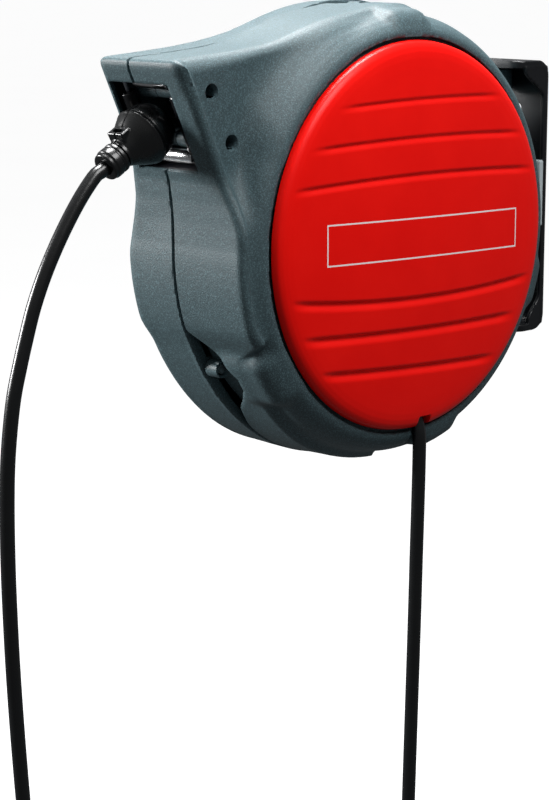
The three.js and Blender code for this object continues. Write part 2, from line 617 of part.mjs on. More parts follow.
function addSupplyCord() {
  const exit = new THREE.Group();
  exit.position.copy(FEED_EXIT);
  exit.rotation.y = -FEED_TILT;
  reel.add(exit);
  const grommet = turnedY([[9, BORE_R], [9, 5.9], [23.9, 6.4], [23.9, BORE_R]], 20).rotateX(Math.PI / 2);
  add(exit, 'feed_grommet', grommet, rubber);
  add(exit, 'cord_clamp', cut(
    solid(block(-7, 8, -14, 14, 24.2, 30)), solid(rodZ(BORE_R, 20, 35, 0, 0)),
  ), whitePlastic);

  const back = new THREE.Vector3(-Math.sin(FEED_TILT), 0, Math.cos(FEED_TILT));
  const straight = [29, 19, 9, 0].map((far) => FEED_EXIT.clone().addScaledVector(back, far));
  const bent = [[61.9, 8.2, -122.3], [63.3, 8.2, -128.5], [64, 8.2, -134]];
  const route = [...straight, ...[...bent, ...SUPPLY_ROUTE].map((p) => new THREE.Vector3(...p))];
  add(reel, 'supply_cord', cordAlong(route, 26), rubber);
  add(reel, 'supply_hank', hankSolid(), rubber).position.copy(SUPPLY_HANK);

  const plug = hangingFrom(SUPPLY_HANK);
  add(plug, 'supply_plug', turnedY([
    [0, 0], [0, 6.5], [-18, 8], [-26, 17.5], [-30, 19], [-56, 19], [-58, 18], [-58, 0],
  ], 20).rotateX(Math.PI / 2), blackPlastic);
  const pin = (y) => solid(new THREE.CylinderGeometry(2.4, 2.4, 20, 14).translate(0, -71, y));
  const disc = solid(turnedY([[-58 - GAP, 0], [-58 - GAP, 16.5], [-61.5, 16.5], [-61.5, 0]], 20));
  const face = geometryOf(joined(disc, pin(-9.5), pin(9.5)));
  add(plug, 'supply_plug_face', face.rotateX(Math.PI / 2), greyPlastic);
}

// A group under a hank, where the cord hangs out of it. What hangs there is drawn downwards from its origin.
function hangingFrom(hank) {
  const group = new THREE.Group();
  group.position.set(hank.x + 2 * CORD_R, hank.y - HANK.aside, hank.z - HANK_END - GAP);
  reel.add(group);
  return group;
}

// ---------------------------------------------------------------- working cord

const BALL_CENTRE = [CORD_X, ...mouthPoint(0, -BALL_STANDS_OUT)];

// The stop ball and its neck, about the neck's axis: [along, radius], out of the mouth along -Y.
const BALL_PROFILE = [
  ...arc([0, 0], BALL_R, 16, 145, 9).filter(([, r]) => r > BORE_R).map(([u, r]) => [u, r]),
  [-15.5, 11.5], [-21.5, 11], [-21.5, 9], [-24, 9], [-24, BORE_R], [17.2, BORE_R],
];

const WORKING_ROUTE = [
  [-212.6, 51.3], [-219.6, 44.6], [-227, 36], [-235, 25.3], [-242.6, 14], [-249.5, 2.6], [-255.4, -8.4],
  [-262.4, -24], [-268.6, -42], [-273.6, -58], [-277.8, -73], [-281, -91], [-283.5, -112], [-284.7, -134],
  [-285.1, -158], [-285, -183], [-284.4, -208], [-283.5, -234], [-282.3, -258], [-280.8, -283], [-279, -309],
  [-277.6, -328], [-276.9, -343],
];
const WORKING_HANK = new THREE.Vector3(CORD_X, -271.9, -455);

function addWorkingCord() {
  const ball = new THREE.Group();
  ball.position.set(...BALL_CENTRE);
  ball.rotation.x = BALL_TILT;
  reel.add(ball);
  const whole = solid(turnedY(BALL_PROFILE, 24));
  const latch = solid(block(-7, 7, -21, -13.5, 8, 13.5));
  const withLatch = joined(whole, latch).subtract(solid(block(-4, 4, -18.5, -15.5, 10, 15)))
    .subtract(solid(turnedY([[-30, 0], [-30, BORE_R], [30, BORE_R], [30, 0]], 24)));
  [['left', -1], ['right', 1]].forEach(([where, side]) => {
    const half = solid(side > 0 ? block(JOINT, 40, -60, 60, -40, 40) : block(-40, -JOINT, -60, 60, -40, 40));
    add(ball, `stop_ball_${where}`, withLatch.intersect(half), rubber);
  });
  add(ball, 'ball_collar', turnedY([
    [-24 - GAP, BORE_R], [-24 - GAP, 8.4], [-26, 9.6], [-33, 9.6], [-34.5, 8.8], [-37, 8.8], [-37, BORE_R],
  ], 20), rubber);

  const inner = new THREE.Vector3(0, 0.983, 0.184);
  const centre = new THREE.Vector3(...BALL_CENTRE);
  const stretch = [BALL_R + GAP, 45, 80, 112].map((far) => centre.clone().addScaledVector(inner, far));
  add(reel, 'inner_cord', cordAlong(stretch, 5, 12), rubber);

  const out = new THREE.Vector3(0, -Math.cos(BALL_TILT), -Math.sin(BALL_TILT));
  const start = [25, 31, 37, 41].map((far) => centre.clone().addScaledVector(out, far));
  const route = [...start, ...WORKING_ROUTE.map(([y, z]) => new THREE.Vector3(CORD_X, y, z))];
  add(reel, 'working_cord', cordAlong(route, 30), rubber);
  add(reel, 'working_hank', hankSolid(), rubber).position.copy(WORKING_HANK);

  const coupler = hangingFrom(WORKING_HANK);
  add(coupler, 'coupler_body', turnedY([
    [0, 0], [0, 6.5], [-18, 8], [-26, 20], [-31, 23], [-62, 23], [-63, 22], [-63, 19.5],
    [-46, 19.5], [-46, 0],
  ], 20).rotateX(Math.PI / 2), rubber);
  const face = cut(
    solid(turnedY([[-46 - GAP, 0], [-46 - GAP, 19], [-49, 19], [-49, 0]], 20)),
    ...[-9.5, 9.5].map((y) => solid(new THREE.CylinderGeometry(2.6, 2.6, 4, 14).translate(0, -49, y))),
  );
  add(coupler, 'coupler_face', geometryOf(face).rotateX(Math.PI / 2), greyPlastic);
}

addBracket();
addCasing();
addRollers();
addDrum();
addPawl();
addWiring();
addSupplyCord();
addWorkingCord();

export default reelOnWall;
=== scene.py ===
"""Looks of a wall-mounted, spring-driven extension cord reel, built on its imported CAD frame.

Most pieces are drawn in millimetres in the reel's own frame, whose origin is on the drum's axis where the
casing shells meet, or in the mouth's or the ball's frame, and are then placed in the row frame, in metres.
The casing, the bracket and the stop ball are distance fields that sculpt() turns into smooth meshes.
"""

import json
import math

import bpy
import numpy as np
from mathutils import Matrix, Vector


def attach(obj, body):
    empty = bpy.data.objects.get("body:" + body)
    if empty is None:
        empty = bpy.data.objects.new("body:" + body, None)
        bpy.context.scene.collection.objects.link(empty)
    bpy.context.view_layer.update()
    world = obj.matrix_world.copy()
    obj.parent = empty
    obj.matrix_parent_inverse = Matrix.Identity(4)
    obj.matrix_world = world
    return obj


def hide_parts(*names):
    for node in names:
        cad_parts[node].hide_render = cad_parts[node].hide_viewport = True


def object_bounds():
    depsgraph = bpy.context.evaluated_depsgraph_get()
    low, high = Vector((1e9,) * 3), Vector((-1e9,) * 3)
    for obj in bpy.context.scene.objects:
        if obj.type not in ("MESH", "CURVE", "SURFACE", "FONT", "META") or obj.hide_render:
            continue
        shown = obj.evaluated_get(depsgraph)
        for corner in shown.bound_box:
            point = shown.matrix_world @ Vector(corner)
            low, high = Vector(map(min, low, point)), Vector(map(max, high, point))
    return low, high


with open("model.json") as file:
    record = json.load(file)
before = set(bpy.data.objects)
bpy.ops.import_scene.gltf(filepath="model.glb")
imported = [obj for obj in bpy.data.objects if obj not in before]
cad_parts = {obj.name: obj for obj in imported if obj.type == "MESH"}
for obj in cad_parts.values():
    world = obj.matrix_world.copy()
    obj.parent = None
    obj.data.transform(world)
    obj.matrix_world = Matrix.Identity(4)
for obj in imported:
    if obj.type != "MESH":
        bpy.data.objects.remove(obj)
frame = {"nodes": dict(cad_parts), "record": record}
cad_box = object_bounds()

# ---------------------------------------------------------------- driving dimensions, in millimetres

DRUM_AXIS = (0, -170, -11)  # the reel frame's origin, seen from the wall
CORD_R = 4.5
WALL = 3.5
JOINT = 0.15
COVER_R = 125
COVER_PROUD = 3  # how far the cover stands out beyond its seat
MOUTH_TILT = math.radians(24.8)
MOUTH_CENTRE = (-167.7, 76)
MOUTH_HALF_HEIGHT = 29.7
MOUTH_SIDES = (-23, 30)
CORD_X = 3.5
BALL_R = 18
BALL_STANDS_OUT = 6.9
BALL_TILT = math.radians(30)
PIN_Y = -18
PIN_BORE_R = 4.3
WASHER_SEAT_R = 6.8
WALL_SCREW_R = 3.25
WALL_SCREWS = ((-10, -60), (10, -60), (-10, 60), (10, 60))
CAMERA_TURN, CAMERA_LIFT, CAMERA_LENS = math.radians(45.5), math.radians(11.54), 103.5
CAMERA_PLACE = (1.0458, -1.2595, 0.1815)  # in metres
CASE_SCREW_R = 142
CASE_SCREW_ANGLES = (88, 213, 283, 340)
SNOUT_SCREWS = ((16.2, 19.2), (-18.7, 20.9))
FEED_EXIT = Vector((60.5, 8.2, -118))
FEED_TILT = math.radians(20)
HANK_RUN, HANK_FOLD, HANK_ASIDE = 160, 27, 5
HANK_END = HANK_RUN / 2 + HANK_FOLD + CORD_R

MM = Matrix.Scale(0.001, 4)
REEL = MM @ Matrix.Translation(DRUM_AXIS)
MOUTH = REEL @ Matrix.Translation((0, *MOUTH_CENTRE)) @ Matrix.Rotation(MOUTH_TILT, 4, "X")


def mouth_point(up, depth):
    """y and z, in the reel's frame, of a point up the mouth's face and in behind it."""
    s, c = math.sin(MOUTH_TILT), math.cos(MOUTH_TILT)
    return MOUTH_CENTRE[0] - s * up + c * depth, MOUTH_CENTRE[1] + c * up + s * depth


BALL_CENTRE = Vector((CORD_X, *mouth_point(0, -BALL_STANDS_OUT)))
BALL = REEL @ Matrix.Translation(BALL_CENTRE) @ Matrix.Rotation(BALL_TILT, 4, "X")
FEED = REEL @ Matrix.Translation(FEED_EXIT) @ Matrix.Rotation(-FEED_TILT, 4, "Y")


# ---------------------------------------------------------------- camera


def add_camera():
    turn, lift = CAMERA_TURN, CAMERA_LIFT
    back = Vector((math.sin(turn) * math.cos(lift), -math.cos(turn) * math.cos(lift), math.sin(lift)))
    data = bpy.data.cameras.new("camera")
    data.lens = CAMERA_LENS
    camera = bpy.data.objects.new("camera", data)
    camera.location = CAMERA_PLACE
    camera.rotation_euler = (-back).to_track_quat("-Z", "Y").to_euler()
    bpy.context.scene.collection.objects.link(camera)
    bpy.context.scene.camera = camera


add_camera()


# ---------------------------------------------------------------- meshes


def place(mesh, name, matrix, body, material, replaces=(), sharp=35):
    """Puts a mesh in the scene, riding on a CAD body and standing for some CAD nodes."""
    mesh.transform(matrix)
    mesh.polygons.foreach_set("use_smooth", [True] * len(mesh.polygons))
    if sharp:
        mesh.set_sharp_from_angle(angle=math.radians(sharp))
    obj = bpy.data.objects.new(name, mesh)
    bpy.context.scene.collection.objects.link(obj)
    obj.data.materials.append(material[1])
    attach(obj, body)
    if replaces:
        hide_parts(*replaces)
    return obj


def mesh_of(name, vertices, faces):
    mesh = bpy.data.meshes.new(name)
    mesh.from_pydata([tuple(v) for v in vertices], [], [tuple(f) for f in faces])
    mesh.update()
    return mesh


def tube(points, radius, sides=20):
    """Vertices and faces of a round tube along a line, with flat ends."""
    line = np.array(points, float)
    tangents = np.gradient(line, axis=0)
    tangents /= np.linalg.norm(tangents, axis=1)[:, None]
    across = np.cross(tangents[0], (1, 0, 0) if abs(tangents[0][0]) < 0.9 else (0, 1, 0))
    angles = np.linspace(0, 2 * math.pi, sides, endpoint=False)
    vertices = []
    for point, along in zip(line, tangents):
        across = across - along * across.dot(along)
        across /= np.linalg.norm(across)
        other = np.cross(along, across)
        vertices += [point + radius * (math.cos(a) * across + math.sin(a) * other) for a in angles]
    faces = [list(range(sides))[::-1], [len(vertices) - sides + k for k in range(sides)]]
    for ring in range(len(line) - 1):
        a, b = ring * sides, (ring + 1) * sides
        faces += [(a + k, a + (k + 1) % sides, b + (k + 1) % sides, b + k) for k in range(sides)]
    return vertices, faces


def turned(profile, sides=72, axis="X"):
    """Vertices and faces of a closed ring or solid: [along, radius] points turned about an axis."""
    vertices, rings = [], []
    for along, r in profile:
        if r < 1e-6:
            rings.append([len(vertices)] * sides)
            vertices.append((along, 0, 0))
            continue
        rings.append(list(range(len(vertices), len(vertices) + sides)))
        for k in range(sides):
            a = 2 * math.pi * k / sides
            vertices.append((along, r * math.cos(a), r * math.sin(a)))
    hollow = profile[0][1] > 1e-6
    faces = []
    for i in range(len(rings) if hollow else len(rings) - 1):
        low, high = rings[i], rings[(i + 1) % len(rings)]
        for k in range(sides):
            n = (k + 1) % sides
            corners = list(dict.fromkeys((low[k], low[n], high[n], high[k])))
            if len(corners) > 2:
                faces.append(corners)
    turn = {"X": lambda v: v, "Y": lambda v: (v[1], v[0], v[2]), "Z": lambda v: (v[1], v[2], v[0])}[axis]
    return [turn(v) for v in vertices], faces


def rounded(profile, radius, steps=3):
    """The profile with each corner that isn't on the axis cut to a small round."""
    out = []
    count = len(profile)
    for i, (along, r) in enumerate(profile):
        here = np.array((along, r), float)
        before, after = np.array(profile[i - 1], float), np.array(profile[(i + 1) % count], float)
        first_or_last = i in (0, count - 1) and profile[0][1] < 1e-6
        if r < 1e-6 or (first_or_last and r < 1e-6):
            out.append((along, r))
            continue
        back, on = before - here, after - here
        cut = min(radius, 0.4 * np.linalg.norm(back), 0.4 * np.linalg.norm(on))
        a, b = here + back / np.linalg.norm(back) * cut, here + on / np.linalg.norm(on) * cut
        for t in np.linspace(0, 1, steps + 1):
            out.append(tuple((1 - t) ** 2 * a + 2 * t * (1 - t) * here + t**2 * b))
    return out


def facing_out(vertices, faces):
    """A mesh of these, with its faces turned outwards."""
    v = np.array(vertices, float)
    volume = sum(v[f[0]].dot(np.cross(v[f[i]], v[f[i + 1]])) for f in faces for i in range(1, len(f) - 1))
    return vertices, faces if volume > 0 else [list(f)[::-1] for f in faces]


def add_turned(name, profile, matrix, body, material, replaces=(), axis="X", sides=64, soften=0.4):
    soft = rounded(profile, soften) if soften else profile
    mesh = mesh_of(name, *facing_out(*turned(soft, sides, axis)))
    return place(mesh, name, matrix, body, material, replaces)


# ---------------------------------------------------------------- distance fields


def smooth_join(a, b, k):
    h = np.clip(0.5 + 0.5 * (b - a) / k, 0, 1)
    return b * (1 - h) + a * h - k * h * (1 - h)


def smooth_cut(a, tool, k):
    return -smooth_join(-a, tool, k)


def rounded_meet(a, b, r):
    """Where both fields are inside, with the edge between them rounded to r."""
    a, b = a + r, b + r
    return np.minimum(np.maximum(a, b), 0) + np.hypot(np.maximum(a, 0), np.maximum(b, 0)) - r


def box_field(x, y, z, low, high, r):
    sides = [np.maximum(lo - v, v - hi) + r for v, lo, hi in zip((x, y, z), low, high)]
    outside = np.sqrt(sum(np.maximum(s, 0) ** 2 for s in sides))
    return outside + np.minimum(np.maximum(np.maximum(*sides[:2]), sides[2]), 0) - r


class Outline:
    """The distance to a closed outline in a plane, kept as a table that is read between its entries."""

    def __init__(self, points, step=0.5, margin=30):
        line = np.array(points, float)
        self.low, self.step = line.min(0) - margin, step
        size = np.ceil((line.max(0) + margin - self.low) / step).astype(int) + 1
        u = self.low[0] + step * np.arange(size[0])[:, None]
        v = self.low[1] + step * np.arange(size[1])[None, :]
        nearest = np.full(tuple(size), 1e9)
        inside = np.zeros(tuple(size), bool)
        for a, b in zip(line, np.roll(line, -1, axis=0)):
            d = b - a
            t = np.clip(((u - a[0]) * d[0] + (v - a[1]) * d[1]) / max(d.dot(d), 1e-12), 0, 1)
            nearest = np.minimum(nearest, (u - a[0] - t * d[0]) ** 2 + (v - a[1] - t * d[1]) ** 2)
            if a[1] != b[1]:
                crosses = ((a[1] > v) != (b[1] > v)) & (u < a[0] + (v - a[1]) / (b[1] - a[1]) * d[0])
                inside ^= crosses
        self.table = np.sqrt(nearest) * np.where(inside, -1, 1)

    def __call__(self, u, v):
        i = np.clip((u - self.low[0]) / self.step, 0, self.table.shape[0] - 1.001)
        j = np.clip((v - self.low[1]) / self.step, 0, self.table.shape[1] - 1.001)
        i0, j0 = i.astype(int), j.astype(int)
        s, t = i - i0, j - j0
        q = self.table
        near = q[i0, j0] * (1 - s) + q[i0 + 1, j0] * s
        far = q[i0, j0 + 1] * (1 - s) + q[i0 + 1, j0 + 1] * s
        return near * (1 - t) + far * t


def crossings(field, values, inside, low, step, axis):
    """Where grid edges along an axis cross the surface: their starts, the points and the normals there."""
    first, second = [slice(None)] * 3, [slice(None)] * 3
    first[axis], second[axis] = slice(0, -1), slice(1, None)
    start, end = values[tuple(first)], values[tuple(second)]
    edges = np.array(np.nonzero(inside[tuple(first)] != inside[tuple(second)])).T
    a, b = start[tuple(edges.T)].astype(float), end[tuple(edges.T)].astype(float)
    unit = np.eye(3)[axis]
    share = a / (a - b)
    for _ in range(2):
        points = (edges + share[:, None] * unit) * step + low
        share = np.clip(share - field(*points.T) / (b - a), 0, 1)
    points = (edges + share[:, None] * unit) * step + low
    e = 0.08 * step
    here = field(*points.T)
    normals = np.stack([field(*(points + e * np.eye(3)[k]).T) - here for k in range(3)], 1)
    normals /= np.maximum(np.linalg.norm(normals, axis=1), 1e-9)[:, None]
    return edges, a < 0, points, normals


def sculpt(field, low, high, step):
    """Vertices and faces of the surface where a field is zero.

    Each cell that the surface crosses gets one vertex, where the tangent planes at its crossed edges meet
    best, so a sharp edge of the field stays sharp in the mesh.
    """
    low = np.array(low, float)
    axes = [np.arange(lo, hi + step, step) for lo, hi in zip(low, high)]
    shape = tuple(len(a) for a in axes)
    values = np.empty(shape, np.float32)
    for i in range(0, shape[0], 8):
        values[i : i + 8] = field(*np.meshgrid(axes[0][i : i + 8], axes[1], axes[2], indexing="ij"))
    inside = values < 0
    corners = np.zeros(tuple(n - 1 for n in shape), np.int8)
    for di, dj, dk in np.ndindex(2, 2, 2):
        corners += inside[di : di + shape[0] - 1, dj : dj + shape[1] - 1, dk : dk + shape[2] - 1]
    crossed = (corners > 0) & (corners < 8)
    count = int(crossed.sum())
    index = np.full(crossed.shape, -1, np.int64)
    index[crossed] = np.arange(count)
    planes, hits = np.zeros((count, 3, 3)), np.zeros(count)
    offsets, middles = np.zeros((count, 3)), np.zeros((count, 3))
    faces = []
    for axis in range(3):
        edges, leaving, points, normals = crossings(field, values, inside, low, step, axis)
        u, v = [np.eye(3, dtype=int)[(axis + k) % 3] for k in (1, 2)]
        quad = np.stack([index[tuple((edges - o).T)] for o in (0 * u, u, u + v, v)], 1)
        outer = normals[:, :, None] * normals[:, None, :]
        reach = normals * (normals * points).sum(1)[:, None]
        for cell in quad.T:
            np.add.at(planes, cell, outer)
            np.add.at(offsets, cell, reach)
            np.add.at(middles, cell, points)
            np.add.at(hits, cell, 1)
        quad[~leaving] = quad[~leaving][:, ::-1]
        faces.append(quad)
    middles /= np.maximum(hits, 1)[:, None]
    rest = offsets - np.einsum("nij,nj->ni", planes, middles)
    vertices = middles + np.linalg.solve(planes + 0.1 * np.eye(3), rest[:, :, None])[:, :, 0]
    centres = np.array(np.nonzero(crossed)).T * step + low + step / 2
    return np.clip(vertices, centres - step / 2, centres + step / 2), np.concatenate(faces)


def sculpted(name, field, low, high, step):
    vertices, faces = sculpt(field, low, high, step)
    mesh = bpy.data.meshes.new(name)
    mesh.vertices.add(len(vertices))
    mesh.vertices.foreach_set("co", vertices.ravel())
    mesh.loops.add(faces.size)
    mesh.loops.foreach_set("vertex_index", faces.ravel())
    mesh.polygons.add(len(faces))
    mesh.polygons.foreach_set("loop_start", np.arange(0, faces.size, 4))
    mesh.update(calc_edges=True)
    mesh.validate()
    return mesh


# ---------------------------------------------------------------- materials


class Shader:
    """A Principled material and short ways to add nodes to it."""

    def __init__(self, name, roughness, metallic=0.0, specular=0.5):
        self.material = bpy.data.materials.new(name)
        self.material.use_nodes = True
        self.nodes, self.links = self.material.node_tree.nodes, self.material.node_tree.links
        self.shader = self.nodes["Principled BSDF"]
        self.shader.inputs["Roughness"].default_value = roughness
        self.shader.inputs["Metallic"].default_value = metallic
        self.shader.inputs["Specular IOR Level"].default_value = specular
        self.place = self.nodes.new("ShaderNodeTexCoord").outputs["Object"]

    def noise(self, scale, detail=3.0, roughness=0.55):
        node = self.nodes.new("ShaderNodeTexNoise")
        node.inputs["Scale"].default_value = scale
        node.inputs["Detail"].default_value = detail
        node.inputs["Roughness"].default_value = roughness
        self.links.new(self.place, node.inputs["Vector"])
        return node.outputs["Fac"]

    def ramp(self, factor, *stops):
        node = self.nodes.new("ShaderNodeValToRGB")
        elements = node.color_ramp.elements
        while len(elements) < len(stops):
            elements.new(0.5)
        for element, (at, colour) in zip(elements, stops):
            element.position = at
            element.color = (*colour, 1) if len(colour) == 3 else colour
        self.links.new(factor, node.inputs["Fac"])
        return node.outputs["Color"]

    def math(self, operation, a, b=0.0):
        node = self.nodes.new("ShaderNodeMath")
        node.operation = operation
        for socket, value in zip(node.inputs, (a, b)):
            if isinstance(value, (int, float)):
                socket.default_value = value
            else:
                self.links.new(value, socket)
        return node.outputs["Value"]

    def mix(self, factor, a, b):
        node = self.nodes.new("ShaderNodeMix")
        node.data_type = "RGBA"
        self.links.new(factor, node.inputs["Factor"])
        for socket, value in ((node.inputs["A"], a), (node.inputs["B"], b)):
            if isinstance(value, tuple):
                socket.default_value = (*value, 1)
            else:
                self.links.new(value, socket)
        return node.outputs["Result"]

    def colour(self, output):
        self.links.new(output, self.shader.inputs["Base Color"])
        return self

    def rough(self, output):
        self.links.new(output, self.shader.inputs["Roughness"])
        return self

    def bump(self, *layers):
        """Each layer is a height and the depth it stands for, in metres."""
        last = None
        for height, depth in layers:
            node = self.nodes.new("ShaderNodeBump")
            node.inputs["Strength"].default_value = 1.0
            node.inputs["Distance"].default_value = depth
            self.links.new(height, node.inputs["Height"])
            if last:
                self.links.new(last, node.inputs["Normal"])
            last = node.outputs["Normal"]
        self.links.new(last, self.shader.inputs["Normal"])
        return self


def shades(colour, spread):
    return tuple(c * (1 - spread) for c in colour), tuple(c * (1 + spread) for c in colour)


def moulded(name, colour, roughness, spread=0.08, grain=900, depth=0.00004, specular=0.5):
    """Moulded plastic or rubber: faint clouding, a fine grain and a slightly uneven gloss."""
    s = Shader(name, roughness, specular=specular)
    dark, light = shades(colour, spread)
    s.colour(s.ramp(s.noise(35, 4), (0.3, dark), (0.7, light)))
    s.rough(s.math("ADD", roughness - 0.06, s.math("MULTIPLY", s.noise(120, 3), 0.12)))
    return s.bump((s.noise(grain, 2), depth)).material


def casing_material():
    """Spark-eroded texture: a coarse matt grain whose peaks catch the light."""
    s = Shader("casing", 0.55, specular=0.45)
    colour = (0.05, 0.085, 0.096)
    dark, _ = shades(colour, 0.35)
    cloud = s.ramp(s.noise(14, 4), (0.3, shades(colour, 0.05)[0]), (0.7, shades(colour, 0.05)[1]))
    bright = tuple(2.2 * c for c in colour)
    speck = s.ramp(s.noise(1150, 2, 0.7), (0.42, dark), (0.54, colour), (0.64, bright))
    s.colour(s.mix(s.math("ADD", 0.65, s.math("MULTIPLY", s.noise(40, 2), 0.2)), cloud, speck))
    s.rough(s.math("ADD", 0.42, s.math("MULTIPLY", s.noise(600, 2), 0.2)))
    return s.bump((s.noise(1400, 2, 0.6), 0.0002), (s.noise(300, 3), 0.00003)).material


def cover_material():
    """Satin red with a thin white frame drawn on it, left empty."""
    s = Shader("cover", 0.36, specular=0.16)
    red = s.ramp(s.noise(25, 4), (0.3, (0.84, 0.004, 0.002)), (0.7, (0.9, 0.006, 0.003)))
    split = s.nodes.new("ShaderNodeSeparateXYZ")
    s.links.new(s.place, split.inputs["Vector"])
    across = s.math("ABSOLUTE", s.math("SUBTRACT", split.outputs["Y"], (DRUM_AXIS[1] + 3.5) / 1000))
    # The frame leans a little, as its long edges do on the dome.
    lean = s.math("MULTIPLY", s.math("SUBTRACT", split.outputs["Y"], DRUM_AXIS[1] / 1000), -0.022)
    middle = s.math("ADD", lean, (DRUM_AXIS[2] + 1) / 1000)
    up = s.math("ABSOLUTE", s.math("SUBTRACT", split.outputs["Z"], middle))
    inside = lambda value, edge: s.math("LESS_THAN", value, edge)
    outer = s.math("MULTIPLY", inside(across, 0.0902), inside(up, 0.0131))
    inner = s.math("MULTIPLY", inside(across, 0.0892), inside(up, 0.0121))
    line = s.math("SUBTRACT", outer, inner)
    s.colour(s.mix(line, red, (0.85, 0.8, 0.8)))
    s.rough(s.math("ADD", 0.28, s.math("MULTIPLY", s.noise(90, 3), 0.1)))
    return s.bump((s.noise(1500, 2), 0.00001)).material


def metal(name, colour, roughness, stretch=(1, 1, 1)):
    """Turned or drawn metal: fine lines round the axis and a little staining."""
    s = Shader(name, roughness, metallic=1.0)
    mapping = s.nodes.new("ShaderNodeMapping")
    mapping.inputs["Scale"].default_value = stretch
    s.links.new(s.place, mapping.inputs["Vector"])
    s.place = mapping.outputs["Vector"]
    dark, light = shades(colour, 0.1)
    s.colour(s.ramp(s.noise(60, 5), (0.3, dark), (0.7, light)))
    s.rough(s.math("ADD", roughness - 0.08, s.math("MULTIPLY", s.noise(400, 3), 0.16)))
    return s.bump((s.noise(1500, 2), 0.00001)).material


SLOTS = {
    "casing": casing_material(),
    "cover": cover_material(),
    "black_plastic": moulded("black_plastic", (0.006, 0.0065, 0.008), 0.3, 0.15, 500, 0.00003, 0.4),
    "white_plastic": moulded("white_plastic", (0.8, 0.8, 0.77), 0.4, 0.04),
    "grey_plastic": moulded("grey_plastic", (0.42, 0.48, 0.5), 0.5, 0.05),
    "rubber": moulded("rubber", (0.004, 0.0045, 0.005), 0.27, 0.2, 350, 0.00004, 0.45),
    "steel": metal("steel", (0.6, 0.61, 0.62), 0.22, (6, 1, 1)),
    "spring_steel": metal("spring_steel", (0.28, 0.3, 0.33), 0.3),
    "brass": metal("brass", (0.72, 0.5, 0.18), 0.28),
    "carbon": moulded("carbon", (0.03, 0.03, 0.032), 0.6, 0.2, 1500, 0.00008),
}


def slot(name):
    return name, SLOTS[name]


def finish_cad_nodes():
    """The CAD nodes that stay in view as they are take their slot's material and soft edges."""
    slots = {p["node"]: p["material_slot"] for p in frame["record"]["subparts"]}
    for name, obj in frame["nodes"].items():
        obj.data.materials.clear()
        obj.data.materials.append(SLOTS[slots[name]])
        obj.data.polygons.foreach_set("use_smooth", [True] * len(obj.data.polygons))
        obj.data.set_sharp_from_angle(angle=math.radians(30))


# ---------------------------------------------------------------- cords


def smooth_line(points, spacing):
    """Points on a centripetal Catmull-Rom curve through these, about this far apart."""
    p = [Vector(q) for q in points]
    p = [2 * p[0] - p[1], *p, 2 * p[-1] - p[-2]]
    out = []
    for a, b, c, d in zip(p, p[1:], p[2:], p[3:]):
        t1 = (b - a).length ** 0.5
        t2 = t1 + (c - b).length ** 0.5
        t3 = t2 + (d - c).length ** 0.5
        steps = max(2, round((c - b).length / spacing))
        for k in range(steps):
            t = t1 + (t2 - t1) * k / steps
            ab = a.lerp(b, t / t1)
            bc = b.lerp(c, (t - t1) / (t2 - t1))
            cd = c.lerp(d, (t - t2) / (t3 - t2))
            out.append(ab.lerp(bc, t / t2).lerp(bc.lerp(cd, (t - t1) / (t3 - t1)), (t - t1) / (t2 - t1)))
    return out + [p[-2]]


def hank_route(middle):
    """Down through a hank with this middle: two layers of runs and folds, then out of its lower end."""
    half, fold, layer = HANK_RUN / 2, HANK_FOLD, 2 * CORD_R
    bend = lambda sign, x: [
        (x, sign * -fold * math.cos(math.pi * k / 12), sign * -(half + fold * math.sin(math.pi * k / 12)))
        for k in range(13)
    ]
    ease = [(t, t * t * (3 - 2 * t)) for t in (0.2, 0.4, 0.6, 0.8, 1)]
    side = lambda share: -HANK_ASIDE - (fold - HANK_ASIDE) * share
    down = [(0, side(share), HANK_END - 66 * t) for t, share in ease]
    down += [(0, -fold, z) for z in (20, -10, -40, -65)]
    up = [(layer * (0.5 - 0.5 * math.cos(math.pi * k / 6)), fold, -half + 2 * half * k / 6)
          for k in range(1, 6)]
    again = [(layer, -fold, z) for z in (60, 30, 0, -25)]
    out = [(layer, side(1 - share), 66 - HANK_END - 66 * t) for t, share in ease]
    route = down + bend(1, 0) + up + bend(-1, layer) + again + [(layer, -fold, 66 - HANK_END)] + out
    return [middle + Vector(p) for p in route]


SUPPLY_ROUTE = [
    (61.9, 8.2, -122.3), (63.3, 8.2, -128.5), (64, 8.2, -134), (64.1, 8.2, -138.5), (64.1, 7.9, -160),
    (64.1, 7.3, -185), (64.1, 6.6, -210), (64.1, 5.9, -240), (64.1, 5.1, -270), (64.1, 4.2, -300),
    (64.1, 3.3, -330), (64.1, 2.4, -360), (64.1, 1.7, -385), (64.1, 1.2, -406),
]
SUPPLY_HANK = Vector((64.1, 6.2, -518))

WORKING_ROUTE = [
    (-212.6, 51.3), (-219.6, 44.6), (-227, 36), (-235, 25.3), (-242.6, 14), (-249.5, 2.6), (-255.4, -8.4),
    (-262.4, -24), (-268.6, -42), (-273.6, -58), (-277.8, -73), (-281, -91), (-283.5, -112), (-284.7, -134),
    (-285.1, -158), (-285, -183), (-284.4, -208), (-283.5, -234), (-282.3, -258), (-280.8, -283),
    (-279, -309),
    (-277.6, -328), (-276.9, -343),
]
WORKING_HANK = Vector((CORD_X, -271.9, -455))


def add_cord(name, route, body, replaces, exit_at):
    line = [REEL @ p for p in smooth_line(route, 3)]
    mesh = mesh_of(name, *facing_out(*tube(line, CORD_R / 1000)))
    obj = place(mesh, name, Matrix.Identity(4), body, slot("rubber"), replaces)
    past = min(range(len(line)), key=lambda k: (line[k] - exit_at).length)
    length = sum((b - a).length for a, b in zip(line[past:], line[past + 1 :]))
    return length


